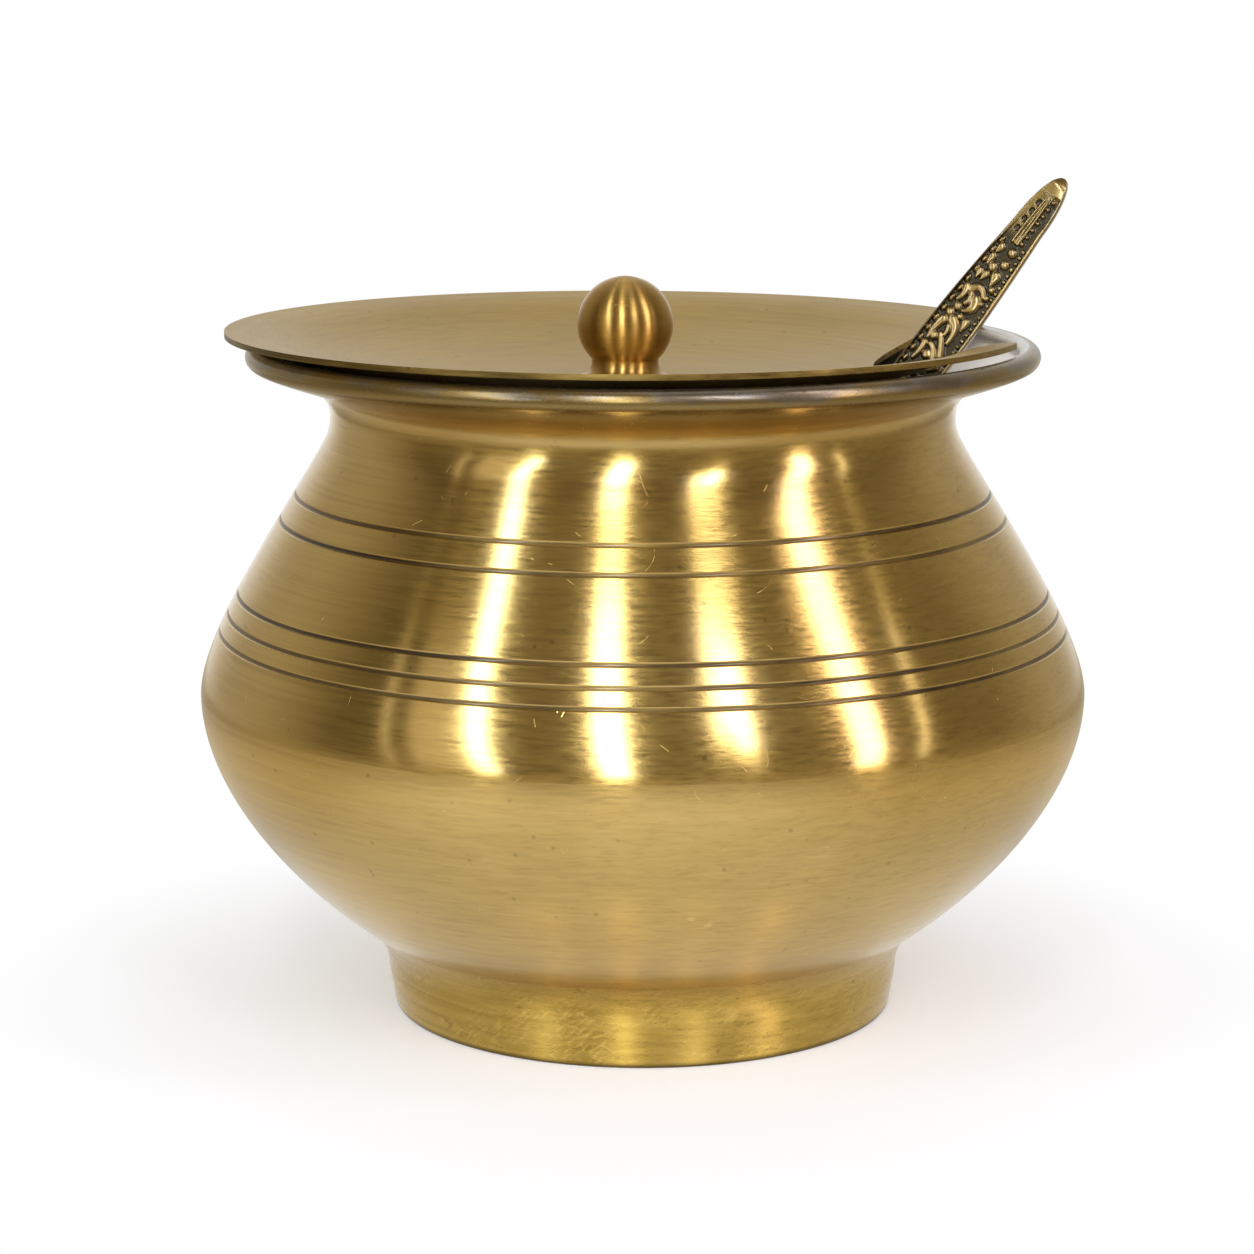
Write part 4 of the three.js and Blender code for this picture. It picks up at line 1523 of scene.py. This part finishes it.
def strip_lamp(name, low, high, bottom, top, width, brightness, tint):
    """A tall softbox between two directions, which leans back over the pot."""
    foot = direction(low, bottom) * LAMP_DISTANCE
    head = direction(high, top) * LAMP_DISTANCE
    lamp = bpy.data.lights.new(name, "AREA")
    lamp.shape = "RECTANGLE"
    lamp.size = 2 * LAMP_DISTANCE * math.tan(math.radians(width / 2))
    lamp.size_y = (head - foot).length
    lamp.energy = brightness * math.pi * lamp.size * lamp.size_y
    lamp.color = tint
    stand = bpy.data.objects.new(name, lamp)
    spot = (foot + head) / 2
    upwards = (head - foot).normalized()
    backwards = (spot - upwards * spot.dot(upwards)).normalized()
    sideways = upwards.cross(backwards)
    turned = Matrix((sideways, upwards, backwards)).transposed().to_4x4()
    stand.matrix_world = Matrix.Translation(spot) @ turned
    bpy.context.scene.collection.objects.link(stand)


# Each softbox: its azimuth at the foot and at the head, the heights of its foot and its head,
# its width, all in degrees, then its brightness and its tint.
LAMP_DISTANCE = 1.1
LAMPS = (
    ("softbox_far_left", -62, -75, -1.5, 36, 1.8, 1.1, (1, 0.97, 0.9)),
    ("softbox_left_flank", -48, -61, -1.5, 40, 13, 0.62, (1, 0.95, 0.85)),
    ("softbox_left", -36, -58.5, 0, 55, 4.5, 9.5, (0.82, 0.9, 1)),
    ("softbox_middle", -5.6, -12.8, 1.5, 52, 6.2, 10.5, (0.92, 0.96, 1)),
    ("softbox_right", 22, 22, 28, 50, 4.6, 7, (0.9, 0.92, 1)),
    ("softbox_right_edge", 26.6, 27, 21, 46.5, 4.2, 9.5, (0.88, 0.9, 1)),
    ("softbox_right_low", 28, 27, 3, 21, 4.2, 0.7, (1, 0.95, 0.85)),
    ("softbox_mid_right", 55.8, 65.5, -3, 56, 6.4, 7.5, (1, 0.92, 1)),
    ("softbox_far_right", 71, 81, -1.5, 36, 2.0, 2.4, (1, 0.97, 0.92)),
)


class GHEE_OT_stage(Operator):
    """Sets up the pale floor, the soft studio light and the camera"""

    bl_idname = "ghee.stage"
    bl_label = "Studio Stage"

    def execute(self, context):
        studio = context.scene.ghee_pot.studio
        scene = context.scene
        camera = bpy.data.cameras.new("camera")
        camera.sensor_width = 36
        camera.lens = studio.lens / MM
        stand = bpy.data.objects.new("camera", camera)
        stand.location = (0, -studio.distance, studio.height)
        stand.rotation_euler = (math.pi / 2 - studio.pitch, 0, -studio.yaw)
        scene.collection.objects.link(stand)
        scene.camera = stand

        bm = bmesh.new()
        bmesh.ops.create_grid(bm, x_segments=2, y_segments=2, size=12)
        floor = piece_from(bm, "floor", [floor_finish()])

        self.surround("studio_surround", arc(at(0, 0), 1.9, 0.01, 1.4, 24), (0.235, 0.2, 0.135), 0)
        self.surround("studio_table", [at(0.31, 0.004), at(1.9, 0.004)], (0.29, 0.24, 0.16), 0.16)

        white_world()
        for strip in LAMPS:
            strip_lamp(*strip)
        scene.view_settings.view_transform = "Standard"
        return {"FINISHED"}

    def surround(self, name, profile, dark, gloss):
        """Turns a profile round the front of the studio, out of the camera's sight."""
        bm = bmesh.new()
        start = Matrix.Rotation(math.radians(-90 - 170), 3, "Z")
        verts = [bm.verts.new(start @ p) for p in profile]
        edges = [bm.edges.new(pair) for pair in zip(verts, verts[1:])]
        bmesh.ops.spin(
            bm, geom=verts + edges, cent=(0, 0, 0), axis=UP, angle=math.radians(340), steps=112
        )
        card = piece_from(bm, name, [surround_finish(name, dark, gloss)])
        card.visible_camera = False
        card.visible_shadow = False


class GHEE_PT_panel(Panel):
    """Lists the pieces of the ghee pot"""

    bl_idname = "GHEE_PT_panel"
    bl_label = "Ghee Pot"
    bl_space_type = "VIEW_3D"
    bl_region_type = "UI"
    bl_category = "Ghee Pot"

    def draw(self, context):
        layout = self.layout
        for operator in PIECES:
            layout.operator(operator.bl_idname)
        settings = context.scene.ghee_pot
        for group in (settings.pot, settings.lid, settings.spoon, settings.finish, settings.studio):
            box = layout.box()
            for name in group.bl_rna.properties.keys():
                if name not in {"rna_type", "name"}:
                    box.prop(group, name)


PIECES = (
    GHEE_OT_stage,
    GHEE_OT_lower_bowl,
    GHEE_OT_upper_shell,
    GHEE_OT_foot_ring,
    GHEE_OT_lid_dish,
    GHEE_OT_lid_knob,
    GHEE_OT_knob_fixings,
    GHEE_OT_spoon,
)

CLASSES = (
    PotSizes,
    LidSizes,
    SpoonSizes,
    Finishes,
    StudioSettings,
    GheePotSettings,
    *PIECES,
    GHEE_PT_panel,
)


def register():
    for cls in CLASSES:
        bpy.utils.register_class(cls)
    bpy.types.Scene.ghee_pot = PointerProperty(type=GheePotSettings)


def unregister():
    del bpy.types.Scene.ghee_pot
    for cls in reversed(CLASSES):
        bpy.utils.unregister_class(cls)


def main():
    register()
    bpy.ops.ghee.stage()
    bpy.ops.ghee.lower_bowl()
    bpy.ops.ghee.upper_shell()
    bpy.ops.ghee.foot_ring()
    bpy.ops.ghee.lid_dish()
    bpy.ops.ghee.lid_knob()
    bpy.ops.ghee.knob_fixings()
    bpy.ops.ghee.spoon()


if __name__ == "__main__":
    main()
